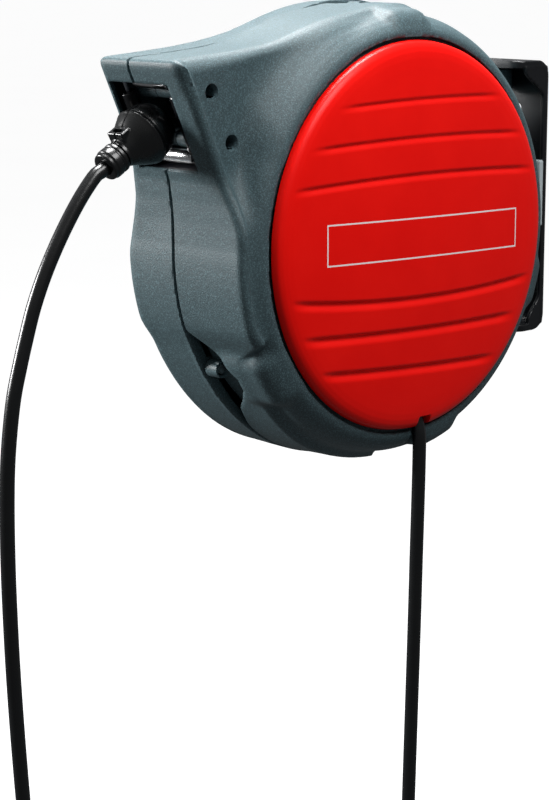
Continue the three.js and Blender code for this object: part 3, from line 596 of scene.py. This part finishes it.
def add_tie(name, middle, body):
    """A hook-and-loop strap round the middle of a hank."""
    x0, x1, y1, r = -CORD_R - 0.2, 3 * CORD_R + 0.2, HANK_FOLD + CORD_R + 0.2, 3.5
    corners = [((x1 - r, y1 - r), 0), ((x0 + r, y1 - r), 90),
               ((x0 + r, r - y1), 180), ((x1 - r, r - y1), 270)]
    ring = []
    for (cx, cy), start in corners:
        for k in range(7):
            a = math.radians(start + 15 * k)
            ring.append((cx, cy, math.cos(a), math.sin(a)))
    vertices, faces = [], []
    rows = [(r, -9), (r, 9), (r + 1.6, 9), (r + 1.6, -9)]
    for out, z in rows:
        vertices += [middle + Vector((cx + out * c, cy + out * s, z)) for cx, cy, c, s in ring]
    n = len(ring)
    for i in range(4):
        j = (i + 1) % 4
        faces += [(i * n + k, i * n + (k + 1) % n, j * n + (k + 1) % n, j * n + k) for k in range(n)]
    return place(mesh_of(name, *facing_out(vertices, faces)), name, REEL, body, slot("black_plastic"))


def add_cords():
    ball_out = Vector((0, -math.cos(BALL_TILT), -math.sin(BALL_TILT)))
    start = [BALL_CENTRE + ball_out * far for far in (25, 31, 37, 41)]
    working = start + [Vector((CORD_X, y, z)) for y, z in WORKING_ROUTE] + hank_route(WORKING_HANK)
    tie = add_tie("working_tie", WORKING_HANK, "cord_end")
    add_coupler()
    lengths = [add_cord("working_lead", working, "cord_end", ("working_cord", "working_hank"),
                        REEL @ start[2])]

    back = Vector((-math.sin(FEED_TILT), 0, math.cos(FEED_TILT)))
    inside = [FEED_EXIT + back * far for far in (29, 19, 9, 0)]
    supply = inside + [Vector(p) for p in SUPPLY_ROUTE] + hank_route(SUPPLY_HANK)
    tie = add_tie("supply_tie", SUPPLY_HANK, "casing")
    add_plug()
    add_grommet()
    lengths.append(add_cord("supply_lead", supply, "casing", ("supply_cord", "supply_hank"),
                            REEL @ FEED_EXIT))

    inner = Vector((0, 0.983, 0.184))
    stretch = [BALL_CENTRE + inner * far for far in np.linspace(BALL_R + 0.3, 112, 20)]
    mesh = mesh_of("drawn_cord", *facing_out(*tube(stretch, CORD_R)))
    place(mesh, "drawn_cord", REEL, "cord_end", slot("rubber"), ("inner_cord",))
    return lengths


def hanging_from(hank):
    return REEL @ Matrix.Translation((hank.x + 2 * CORD_R, hank.y - HANK_ASIDE, hank.z - HANK_END - 0.3))


def relief_rings(start, end, r0, r1, count):
    """A profile of rings along a tapering strain relief."""
    out = []
    for k in range(count):
        t0, t1 = (k + 0.1) / count, (k + 0.62) / count
        a, b = start + (end - start) * t0, start + (end - start) * t1
        gap = start + (end - start) * (k + 0.8) / count
        out += [(a, r0 + (r1 - r0) * t0), (b, r0 + (r1 - r0) * t1), (gap, r0 + (r1 - r0) * t1 - 0.8)]
    return out


def add_coupler():
    at = hanging_from(WORKING_HANK)
    profile = [(0, 0), (0, 5.6), *relief_rings(-1, -22, 6.4, 8.6, 5), (-25, 11), (-28, 19), (-31, 22.2),
               (-34, 22.6), (-36, 22.0), (-38, 22.6), (-40, 22.0), (-42, 22.6), (-60, 22.8), (-63, 22.2),
               (-63, 19.6), (-46, 19.5), (-46, 0)]
    add_turned("coupler_shell", profile, at, "cord_end", slot("rubber"), ("coupler_body",), "Z", soften=0.6)

    def face(x, y, z):
        disc = np.maximum(np.hypot(x, y) - 18.9, np.maximum(-49 - z, z + 46.35))
        holes = np.minimum(np.hypot(x, y - 9.5), np.hypot(x, y + 9.5)) - 2.6
        pocket = np.maximum(np.hypot(x, y) - 16, z + 47.6)
        return np.maximum(np.maximum(disc, -np.maximum(holes, z + 47)), -np.maximum(pocket, -48.2 - z) - 3)

    mesh = sculpted("coupler_insert", face, (-20, -20, -50), (20, 20, -45.5), 0.7)
    place(mesh, "coupler_insert", at, "cord_end", slot("grey_plastic"), ("coupler_face",))


def add_plug():
    at = hanging_from(SUPPLY_HANK)
    profile = [(0, 0), (0, 5.6), *relief_rings(-1, -20, 6.4, 8.4, 5), (-23, 12), (-27, 17.2), (-30, 18.6),
               (-36, 18.0), (-40, 18.2), (-44, 18.0), (-50, 18.8), (-56, 18.9), (-58, 17.8), (-58, 0)]
    add_turned("plug_shell", profile, at, "casing", slot("black_plastic"), ("supply_plug",), "Z", soften=0.6)

    def face(x, y, z):
        disc = np.maximum(np.hypot(x, y) - 16.4, np.maximum(-61.4 - z, z + 58.35))
        pins = np.minimum(np.hypot(x, y - 9.5), np.hypot(x, y + 9.5)) - 2.35
        tips = np.maximum(pins, np.maximum(-80.8 - z, z + 60))
        return smooth_join(disc, tips, 0.8)

    mesh = sculpted("plug_insert", face, (-18, -18, -82), (18, 18, -57.5), 0.7)
    place(mesh, "plug_insert", at, "casing", slot("grey_plastic"), ("supply_plug_face",))


def add_grommet():
    profile = [(9.2, 4.65), (8.6, 5.3), *[(along, r) for along, r in relief_rings(9.4, 22, 5.5, 6.1, 4)],
               (23.9, 6.3), (23.9, 4.65)]
    add_turned("cord_grommet", profile, FEED, "casing", slot("rubber"), ("feed_grommet",), "Z", soften=0.2)


# ---------------------------------------------------------------- casing


def arc_points(r, start, end, count, centre=(0, 0)):
    angles = np.radians(np.linspace(start, end, count))
    return [(centre[0] + r * math.cos(a), centre[1] + r * math.sin(a)) for a in angles]


def blend_between(value, start, end):
    t = np.clip((value - start) / (end - start), 0, 1)
    return t * t * (3 - 2 * t)


# The ring round the cover and the dome behind it: x and radius.
FRONT_PROFILE = [
    (-1, 0), (-1, 147.6), (0, 147.6), (10, 146.1), (20, 144.8), (30, 143.7), (40, 142.8), (48, 141.2),
    (54, 138.6),
    (58, 135.8), (60.6, 132.8), (61.9, 130.2), (62.1, 128.6), (61.5, 127.5), (57.5, 127.2), (57.5, 0),
]
REAR_PROFILE = [
    (1, 0), (1, 148.2), (0, 148.2), (-14, 147.2), (-26, 145.5), (-36, 142), (-44, 136), (-49, 127),
    (-51.5, 114),
    (-52, 100), (-52, 0),
]


def step_in(angle):
    """Where the outer wall steps in below the front, from 0 to 1."""
    return blend_between(angle, 198, 207) * (1 - blend_between(angle, 212, 246))


def stepped_arc(start, end):
    """The outer wall's outline from one angle to another, a point a degree, with the step in it."""
    return [tuple(arc_points(149.2 - 5.2 * step_in(a) - 1.2 * blend_between(a, 200, 260), a, a, 1)[0])
            for a in range(start, end + 1)]


# The outline of the straight outer wall, with the snout: y and z. Below the front it steps in.
WALL_OUTLINE = [
    (-180, 118.6), (-183, 118.1), (-184.8, 116.4),
    mouth_point(41.5, 0.3), mouth_point(38, 0), mouth_point(-29.7, 0),
    (-153.3, 43.5), (-151.2, 31), (-149.9, 18), (-149.1, 4), *stepped_arc(181, 268),
    (0, 0), *arc_points(147, 72, 88, 8),
    (-8, 146.2), (-20, 144.6), (-30, 142.8), (-40, 140.6), (-50, 138.2), (-60, 135.6), (-72, 132.4),
    (-83, 129.7),
    (-96, 127.1), (-110, 124.8), (-130, 122.4), (-150, 120.7), (-170, 119.3),
]

# Each case screw's pocket, seen from outside: millimetres round the rim from the screw, and x.
LONG_POCKET = [(-40, -6), (2, 29), (11, 28), (34, 8), (74, -6)]
SHORT_POCKET = [(-28, -6), (-4, 22), (6, 22), (28, -6)]

ring_table = Outline(FRONT_PROFILE)
dome_table = Outline(REAR_PROFILE)
wall_table = Outline(WALL_OUTLINE)
long_pocket, short_pocket = Outline(LONG_POCKET), Outline(SHORT_POCKET)


def behind_mouth(y, z):
    """How far a point is behind the mouth's face, and how far up along it."""
    s, c = math.sin(MOUTH_TILT), math.cos(MOUTH_TILT)
    dy, dz = y - MOUTH_CENTRE[0], z - MOUTH_CENTRE[1]
    return c * dy + s * dz, -s * dy + c * dz


def around(y, z):
    """The angle round the drum's axis, in degrees from +Y, from -90 to 270."""
    angle = np.degrees(np.arctan2(z, y))
    return np.where(angle < -90, angle + 360, angle)


def front_reach(y, z):
    """How far forward the straight wall goes: a bead round the mouth and down the front, and a lower side."""
    depth, up = behind_mouth(y, z)
    angle = around(y, z)
    turned_down = blend_between(angle, 157, 167)
    rim = depth * (1 - turned_down) - wall_table(y, z) * turned_down
    low_front = blend_between(up, -30, -70)
    ends = 24 * blend_between(angle, 202, 209)
    bead = 48 + 13.5 * low_front - ends
    side = 44 + 13 * low_front - ends
    reach = side + (bead - side) * (1 - blend_between(rim, 5, 9.5))
    return np.where(angle < 120, 44 - 12 * blend_between(angle, 86, 74), reach)


def rear_reach(y, z):
    """How far back the straight wall goes, from the snout's side to the full depth of the casing."""
    _, up = behind_mouth(y, z)
    angle = around(y, z)
    reach = 30 + 7 * blend_between(up, -10, -40) + 9.5 * blend_between(angle, 165, 184)
    return np.where(angle < 120, 31, reach - 3 * blend_between(angle, 199, 206))


def along_rim(y, z, angle):
    """Millimetres round the rim from the case screw at an angle."""
    away = np.degrees(np.arctan2(z, y)) - angle
    return np.radians((away + 180) % 360 - 180) * 147


def under_wall(x, y, z):
    """How much the round casing steps in where the straight wall ends, below the front."""
    return 4.6 * step_in(around(y, z)) * (1 - blend_between(np.abs(x), 34, 52))


def mouth_hole(x, y, z):
    depth, up = behind_mouth(y, z)
    low, high = (MOUTH_SIDES[0], -MOUTH_HALF_HEIGHT, -30), (MOUTH_SIDES[1], MOUTH_HALF_HEIGHT, 12)
    return box_field(x, up, depth, low, high, 1.6)


def screw_places():
    for angle in CASE_SCREW_ANGLES:
        a = math.radians(angle)
        yield angle, CASE_SCREW_R * math.cos(a), CASE_SCREW_R * math.sin(a)


def front_outside(x, y, z):
    r = np.hypot(y, z)
    depth, up = behind_mouth(y, z)
    angle = around(y, z)
    ring = ring_table(x, r + under_wall(x, y, z))
    wall = rounded_meet(wall_table(y, z), x - front_reach(y, z), 5.5 + 4.5 * blend_between(up, 12, 34))
    flowing = blend_between(angle, 172, 150) * blend_between(angle, 98, 122) * blend_between(depth, 12, 48)
    body = smooth_join(ring, wall, 5 + 22 * flowing)
    for angle, sy, sz in screw_places():
        rim = along_rim(y, z, angle)
        low, high, top, soft = (-18, 28, 147, 12) if angle == 213 else (-16, 24, 144, 9)
        body = smooth_join(body, box_field(rim, x, r, (low, 16, 100), (high, 59, top), soft), 6)
        pocket = (long_pocket if angle == 213 else short_pocket)(rim, x)
        body = smooth_cut(body, np.maximum(pocket, 138 - r), 2.5)
        away = np.hypot(y - sy, z - sz)
        boss = np.maximum(away - 5.6, np.maximum(x - 12, -x))
        body = smooth_join(body, boss, 1)
        body = np.maximum(body, -np.maximum(away - 3.9, np.abs(x - 16) - 8.8))
    return body


def barrel(x, y, z, end):
    """The hinge barrel at the top or bottom, with the web that carries it."""
    z0, z1 = sorted(end * h - DRUM_AXIS[2] for h in (74.4, 87.4))
    pin = PIN_Y - DRUM_AXIS[1]
    tall = np.maximum(z0 - z, z - z1)
    post = rounded_meet(np.hypot(x, y - pin) - 13, tall, 1)
    web = box_field(x, y, z, (-10, 100, z0), (10, pin, z1), 1)
    bore = np.hypot(x, y - pin) - PIN_BORE_R
    return smooth_join(post, web, 3), np.maximum(bore, tall - 9)


def shell_extras(body, x, y, z):
    bores = []
    for end in (1, -1):
        solid, bore = barrel(x, y, z, end)
        body = smooth_join(body, solid, 4)
        bores.append(bore)
    return np.maximum(body, -np.minimum(*bores))


def front_shell_field(x, y, z):
    r = np.hypot(y, z)
    outside = front_outside(x, y, z)
    inner_wall = np.maximum(wall_table(y, z) + WALL, x - 40)
    drum_room = np.maximum(np.minimum(ring_table(x, r) + WALL, inner_wall), x - 40.5)
    drum_room = np.maximum(drum_room, outside + 3.3)
    wiring = np.maximum(np.maximum(r - 122, 43.5 - x), x - 80)
    seat = np.maximum(r - (COVER_R + 2), 57.5 - x)
    body = shell_extras(outside, x, y, z)
    body = np.maximum(body, -np.minimum(np.minimum(drum_room, wiring), seat))
    for up, depth in SNOUT_SCREWS:
        sy, sz = mouth_point(up, depth)
        away = np.hypot(y - sy, z - sz)
        tube_wall = np.maximum(away - 5.3, np.maximum(x - 44, -x))
        body = np.minimum(body, np.maximum(tube_wall, outside))
        mouthed = away - 4.2 - 0.8 * blend_between(x, 41, 44)
        body = np.maximum(body, -np.maximum(mouthed, 12.2 - x))
        body = np.maximum(body, -np.maximum(away - 2.3, x - 13))
    for _, sy, sz in screw_places():
        body = np.maximum(body, -np.maximum(np.hypot(y - sy, z - sz) - 2.3, x - 8))
    body = smooth_cut(body, mouth_hole(x, y, z), 1.0)
    cord_slot = box_field(x, y, z, (53, FEED_EXIT.y - 5.6, -170), (90, FEED_EXIT.y + 5.6, -110), 1.5)
    body = smooth_cut(body, cord_slot, 1.0)
    body = np.maximum(body, -np.maximum(r - 34, np.maximum(39 - x, x - 45)))
    joint = JOINT + 1.7 * np.clip(1 + outside / 2.6, 0, 1)
    return np.maximum(body, joint - x)


def rear_shell_field(x, y, z):
    r = np.hypot(y, z)
    dome = dome_table(x, r + 0.5 * under_wall(x, y, z))
    wall = rounded_meet(wall_table(y, z) - 3 * step_in(around(y, z)), -x - rear_reach(y, z), 9)
    outside = smooth_join(dome, wall, 5)
    for angle in CASE_SCREW_ANGLES:
        end = 50 if angle == 213 else 34
        lip = box_field(along_rim(y, z, angle), x, r, (-34, -3, 130), (end, 2, 148.4), 0.8)
        outside = smooth_join(outside, lip, 1.2)
    inner_wall = np.maximum(wall_table(y, z) + WALL, -x - 27)
    room = np.maximum(np.minimum(dome_table(x, r) + WALL, inner_wall), outside + 3.2)
    body = shell_extras(outside, x, y, z)
    body = np.maximum(body, -room)
    hub = np.maximum(r - 22, np.maximum(x + 40, -x - 50))
    body = np.minimum(body, hub)
    body = np.maximum(body, -np.maximum(r - 8.3, np.maximum(x + 39, -x - 45.3)))
    body = np.maximum(body, -np.maximum(r - 9, x + 49.5))
    body = np.maximum(body, -(np.hypot(y, z) - 4))
    for _, sy, sz in screw_places():
        away = np.hypot(y - sy, z - sz)
        boss = np.maximum(away - 6.5, np.maximum(x + 0.1, -x - 30))
        body = np.minimum(body, np.maximum(boss, outside))
        body = np.maximum(body, -np.maximum(away - 2.1, -x - 22))
    for up, depth in SNOUT_SCREWS:
        sy, sz = mouth_point(up, depth)
        away = np.hypot(y - sy, z - sz)
        body = np.minimum(body, np.maximum(np.maximum(away - 5.3, -x - 29), outside))
        body = np.maximum(body, -np.maximum(away - 2.1, -x - 20))
    body = smooth_cut(body, mouth_hole(x, y, z), 1.0)
    joint = JOINT + 0.5 * np.clip(1 + outside / 1.2, 0, 1)
    return np.maximum(body, x + joint)


def add_shells():
    step = 1.8
    front = sculpted("front_casing", front_shell_field, (-2, -192, -154), (70, 170, 154), step)
    place(front, "front_casing", REEL, "casing", slot("casing"), ("front_shell",), sharp=50)
    rear = sculpted("rear_casing", rear_shell_field, (-56, -192, -154), (2, 170, 154), step)
    place(rear, "rear_casing", REEL, "casing", slot("casing"), ("rear_shell",), sharp=50)


# ---------------------------------------------------------------- cover

# Each groove pressed into the cover: its left end, middle and right end, in y and z, and its width.
GROOVES = [
    ((-73, 86.4), (-5, 88.8), (77, 87.6), 0.75), ((-97, 62.3), (-14, 65), (100, 62.2), 0.8),
    ((-115, 38.2), (-13, 41.6), (112, 37.8), 0.85), ((-116, -29.1), (-11, -37), (110, -34), 1.1),
    ((-106, -53.4), (-11, -57.4), (94, -58.6), 1.15), ((-90, -77), (-10, -81.8), (75, -85), 1.15),
]
COVER_DOME = [(0, 71), (20, 70.9), (40, 70.5), (60, 69.8), (80, 68.9), (98, 67.9), (108, 67.2), (114, 66.6),
              (118, 65.9), (121, 64.9), (123.2, 63.5), (124.5, 61.6), (125, 58.5)]


def groove_depth(y, z):
    """Each groove has a steep upper side, a longer lower side, and ends that fade out."""
    depth = np.zeros_like(y)
    for (y0, z0), (y1, z1), (y2, z2), width in GROOVES:
        off = (z - np.polyval(np.polyfit((y0, y1, y2), (z0, z1, z2), 2), y)) / width
        shape = 1 - np.where(off > -0.9, blend_between(off, -0.9, 1.4), blend_between(off, -0.9, -5.4))
        ends = blend_between(y, y0 - 4, y0 + 20) * blend_between(y, y2 + 4, y2 - 20)
        depth += 1.9 * width * shape * ends
    return depth


def add_cover():
    around_count, rings = ((640, 130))
    radii = np.concatenate([np.linspace(0, 113, rings)[1:], np.linspace(113, 125, 16)[1:]])
    heights = np.interp(radii, *zip(*COVER_DOME))
    angles = np.linspace(0, 2 * math.pi, around_count, endpoint=False)
    vertices = [(71, 0, 0)]
    for r, h in zip(radii, heights):
        y, z = r * np.cos(angles), r * np.sin(angles)
        x = h - groove_depth(y, z) * blend_between(-r, -121, -114)
        notch = (np.abs(y - FEED_EXIT.y) < 5.4) & (z < -117.2)
        z = np.where(notch, np.maximum(z, -117.2), z)
        vertices += list(zip(x, y, z))
    for r, x in ((122, 57.8), (120.6, 60.3), (116, 61.6), (106, 63), (80, 65), (40, 67)):
        z = r * np.sin(angles)
        y = r * np.cos(angles)
        z = np.where((np.abs(y - FEED_EXIT.y) < 5.4) & (z < -117.2), -117.2, z)
        vertices += list(zip(np.full_like(y, x), y, z))
    vertices.append((67.8, 0, 0))
    count = around_count
    total = len(radii) + 6
    faces = [(0, 1 + k, 1 + (k + 1) % count) for k in range(count)]
    for ring in range(total - 1):
        a, b = 1 + ring * count, 1 + (ring + 1) * count
        faces += [(a + k, b + k, b + (k + 1) % count, a + (k + 1) % count) for k in range(count)]
    last, a = len(vertices) - 1, 1 + (total - 1) * count
    faces += [(last, a + (k + 1) % count, a + k) for k in range(count)]
    mesh = mesh_of("red_cover", *facing_out(vertices, faces))
    proud = REEL @ Matrix.Translation((COVER_PROUD, 0, 0))
    place(mesh, "red_cover", proud, "casing", slot("cover"), ("front_cover",), sharp=60)


# ---------------------------------------------------------------- mouth and stop ball


def ball_field(x, y, z, side):
    out = -y
    r = np.hypot(x, z)
    ball = np.sqrt(r * r + y * y) - BALL_R
    cone = np.maximum((r - (17.2 - 0.52 * (out - 6))) * 0.887, np.maximum(5 - out, out - 21.4))
    stem = np.maximum(r - 8.9, np.maximum(-out, out - 23.9))
    body = smooth_join(smooth_join(ball, cone, 3), stem, 0.8)
    ridge = np.hypot(r - 17.55, out - 4) - 0.9
    body = smooth_join(body, ridge, 1.2)
    loop = box_field(x, y, z, (-6.8, -21, 7), (6.8, -13.6, 13.4), 1)
    body = smooth_join(body, loop, 0.8)
    body = np.maximum(body, -box_field(x, y, z, (-4, -18.9, 10), (4, -15.7, 20), 0.5))
    body = np.maximum(body, -(r - 4.95))
    seam = JOINT + 0.5 * np.clip(1 + body / 0.8, 0, 1)
    return np.maximum(body, seam - side * x)


def add_ball():
    step = 0.6
    for where, side in (("left", -1), ("right", 1)):
        name, node = f"ball_half_{where}", f"stop_ball_{where}"
        low = (-19.5, -26, -19.5) if side < 0 else (-0.6, -26, -19.5)
        high = (0.6, 19.5, 19.5) if side < 0 else (19.5, 19.5, 19.5)
        mesh = sculpted(name, lambda x, y, z, s=side: ball_field(x, y, z, s), low, high, step)
        place(mesh, name, BALL, "cord_end", slot("rubber"), (node,), sharp=55)
    profile = [(-24.3, 4.9), (-24.3, 8.2), (-25.4, 9.6), (-27.5, 9.6), (-28, 9.0), (-29, 9.0), (-29.5, 9.6),
               (-33.6, 9.6), (-34.4, 8.9), (-36.3, 8.8), (-37, 8.2), (-37, 4.9)]
    add_turned("ball_sleeve", profile, BALL, "cord_end", slot("rubber"), ("ball_collar",), "Y", soften=0.4)


def add_rollers():
    for where, end in (("top", 1), ("bottom", -1)):
        at = MOUTH @ Matrix.Translation((CORD_X, 12, end * 25.5))
        profile = [(-14.5, 1.9), (-14.5, 4.1), (-14.1, 4.5), (14.1, 4.5), (14.5, 4.1), (14.5, 1.9)]
        add_turned(f"steel_roller_{where}", profile, at, f"{where}_roller", slot("steel"),
                   (f"guide_roller_{where}",), soften=0.15, sides=40)
    for where, side in (("left", -1), ("right", 1)):
        at = MOUTH @ Matrix.Translation((CORD_X + side * 22, 8.5, 0))
        profile = [(-19.3, 1.9), (-19.3, 4.4), (-18.6, 5), (18.6, 5), (19.3, 4.4), (19.3, 1.9)]
        add_turned(f"upright_roller_{where}", profile, at, f"{where}_roller", slot("black_plastic"),
                   (f"guide_roller_{where}",), "Z", soften=0.15, sides=40)


# ---------------------------------------------------------------- bracket


def bracket_outline():
    half, thick = 94, 5
    back = [(-11 + 11 * math.cos(a), 83 + 11 * math.sin(a)) for a in np.radians(np.linspace(90, 0, 10))]
    back += [(y, -z) for y, z in reversed(back)]
    inner = [(-8 + 5 * math.cos(a), 84 + 5 * math.sin(a)) for a in np.radians(np.linspace(0, 90, 8))]
    inner = [(y, -z) for y, z in reversed(inner)] + inner
    return [(-31, half), *back, (-31, -half), (-31, thick - half), *inner, (-31, half - thick)]


def flange_corner(middle, start, end):
    angles = np.radians(np.linspace(start, end, 9))
    return [(middle + 11 * math.cos(a), -20 + 11 * math.sin(a)) for a in angles]


bracket_table = Outline(bracket_outline(), 0.25, 12)
flange_table = Outline(
    [(-35, 5), (35, 5), *flange_corner(24, 0, -90), *flange_corner(-24, -90, -180)], 0.25, 12)


def bracket_field(x, y, z):
    plan = flange_table(x, y)
    body = rounded_meet(bracket_table(y, z), plan, 1.0)
    high = np.abs(z)
    for side in (-1, 1):
        edge = side * 33.5
        # A rim runs down each side, and deepens into the arms.
        deep = 4.5 + 20 * blend_between(z, 68, 88) + 12 * blend_between(-z, 68, 88)
        rim = rounded_meet(np.abs(x - edge) - 1.5, np.maximum(-y - deep, np.maximum(y + 1.5, high - 90)), 0.8)
        body = smooth_join(body, rim, 1.2)
    pin = np.hypot(x, y - PIN_Y)
    body = np.maximum(body, -np.maximum(pin - PIN_BORE_R, 80 - high))
    body = np.maximum(body, -np.maximum(pin - WASHER_SEAT_R, 91.4 - high))
    for sx, sz in WALL_SCREWS:
        body = np.maximum(body, WALL_SCREW_R - np.hypot(x - sx, z - sz))
    return body


def add_bracket():
    step = 1.1
    mesh = sculpted("bracket_channel", bracket_field, (-37, -33, -96), (37, 2, 96), step)
    place(mesh, "bracket_channel", MM, "bracket", slot("black_plastic"), ("wall_bracket",), sharp=50)
    for name, side in (("bumper_left", -1), ("bumper_right", 1)):
        def pad(x, y, z):
            body = box_field(x, y, z, (side * 32 - 3, -7.3, -21), (side * 32 + 3, -3.3, 25), 1.2)
            slit = box_field(x, y, z, (side * 32 - 0.7, -9, 14), (side * 32 + 0.7, -5.8, 20), 0.3)
            return np.maximum(body, -slit)

        low, high = (side * 32 - 4, -8.5, -22.5), (side * 32 + 4, -2, 26.5)
        mesh = sculpted(f"{name}_pad", pad, low, high, 0.7)
        place(mesh, f"{name}_pad", MM, "bracket", slot("grey_plastic"), (name,))


# ---------------------------------------------------------------- studio


def add_sky():
    """Soft light that is strongest overhead."""
    world = bpy.data.worlds.new("studio")
    world.use_nodes = True
    nodes, links = world.node_tree.nodes, world.node_tree.links
    split = nodes.new("ShaderNodeSeparateXYZ")
    links.new(nodes.new("ShaderNodeTexCoord").outputs["Generated"], split.inputs["Vector"])
    ramp = nodes.new("ShaderNodeValToRGB")
    low, high = ramp.color_ramp.elements
    low.position, low.color = 0.0, (0.34, 0.35, 0.36, 1)
    high.position, high.color = 0.8, (1.0, 1.0, 1.0, 1)
    links.new(split.outputs["Z"], ramp.inputs["Fac"])
    links.new(ramp.outputs["Color"], nodes["Background"].inputs["Color"])
    nodes["Background"].inputs["Strength"].default_value = 0.36
    backdrop = nodes.new("ShaderNodeBackground")
    backdrop.inputs["Color"].default_value = (1, 1, 1, 1)
    mix = nodes.new("ShaderNodeMixShader")
    links.new(nodes.new("ShaderNodeLightPath").outputs["Is Camera Ray"], mix.inputs[0])
    links.new(nodes["Background"].outputs[0], mix.inputs[1])
    links.new(backdrop.outputs[0], mix.inputs[2])
    links.new(mix.outputs[0], nodes["World Output"].inputs["Surface"])
    bpy.context.scene.world = world


def add_area(name, at, aim, size, energy):
    light = bpy.data.lights.new(name, "AREA")
    light.shape, light.size, light.energy = "SQUARE", size, energy
    obj = bpy.data.objects.new(name, light)
    obj.location = at
    obj.rotation_euler = (Vector(aim) - Vector(at)).to_track_quat("-Z", "Y").to_euler()
    bpy.context.scene.collection.objects.link(obj)


def add_studio():
    bpy.ops.mesh.primitive_plane_add(size=60, location=(0, 0, cad_box[0].z - 0.02))
    floor = bpy.context.object
    floor.name = "floor"
    s = Shader("floor", 0.9, specular=0.1)
    s.colour(s.ramp(s.noise(2), (0.3, (0.2, 0.202, 0.204)), (0.7, (0.22, 0.222, 0.224))))
    s.shader.inputs["Emission Color"].default_value = (1, 1, 1, 1)
    s.shader.inputs["Emission Strength"].default_value = 0.9
    floor.data.materials.append(s.material)
    floor.visible_diffuse = False
    floor.visible_glossy = False
    add_sky()
    add_area("top", (-0.5, 0.1, 1.9), (0, -0.17, 0), 1.0, 120)
    add_area("left", (-1.9, -1.7, 0.6), (0, -0.2, 0), 0.8, 110)
    add_area("front", (0.62, -0.24, 0.82), (0.05, -0.18, 0.08), 0.5, 9.5)
    bpy.context.scene.view_settings.view_transform = "Standard"


# ---------------------------------------------------------------- the whole

finish_cad_nodes()
add_ball()
cord_lengths = add_cords()
add_rollers()
add_shells()
add_cover()
add_bracket()
add_studio()
print("cord lengths, in metres, outside the casing:", [round(n, 3) for n in cord_lengths])
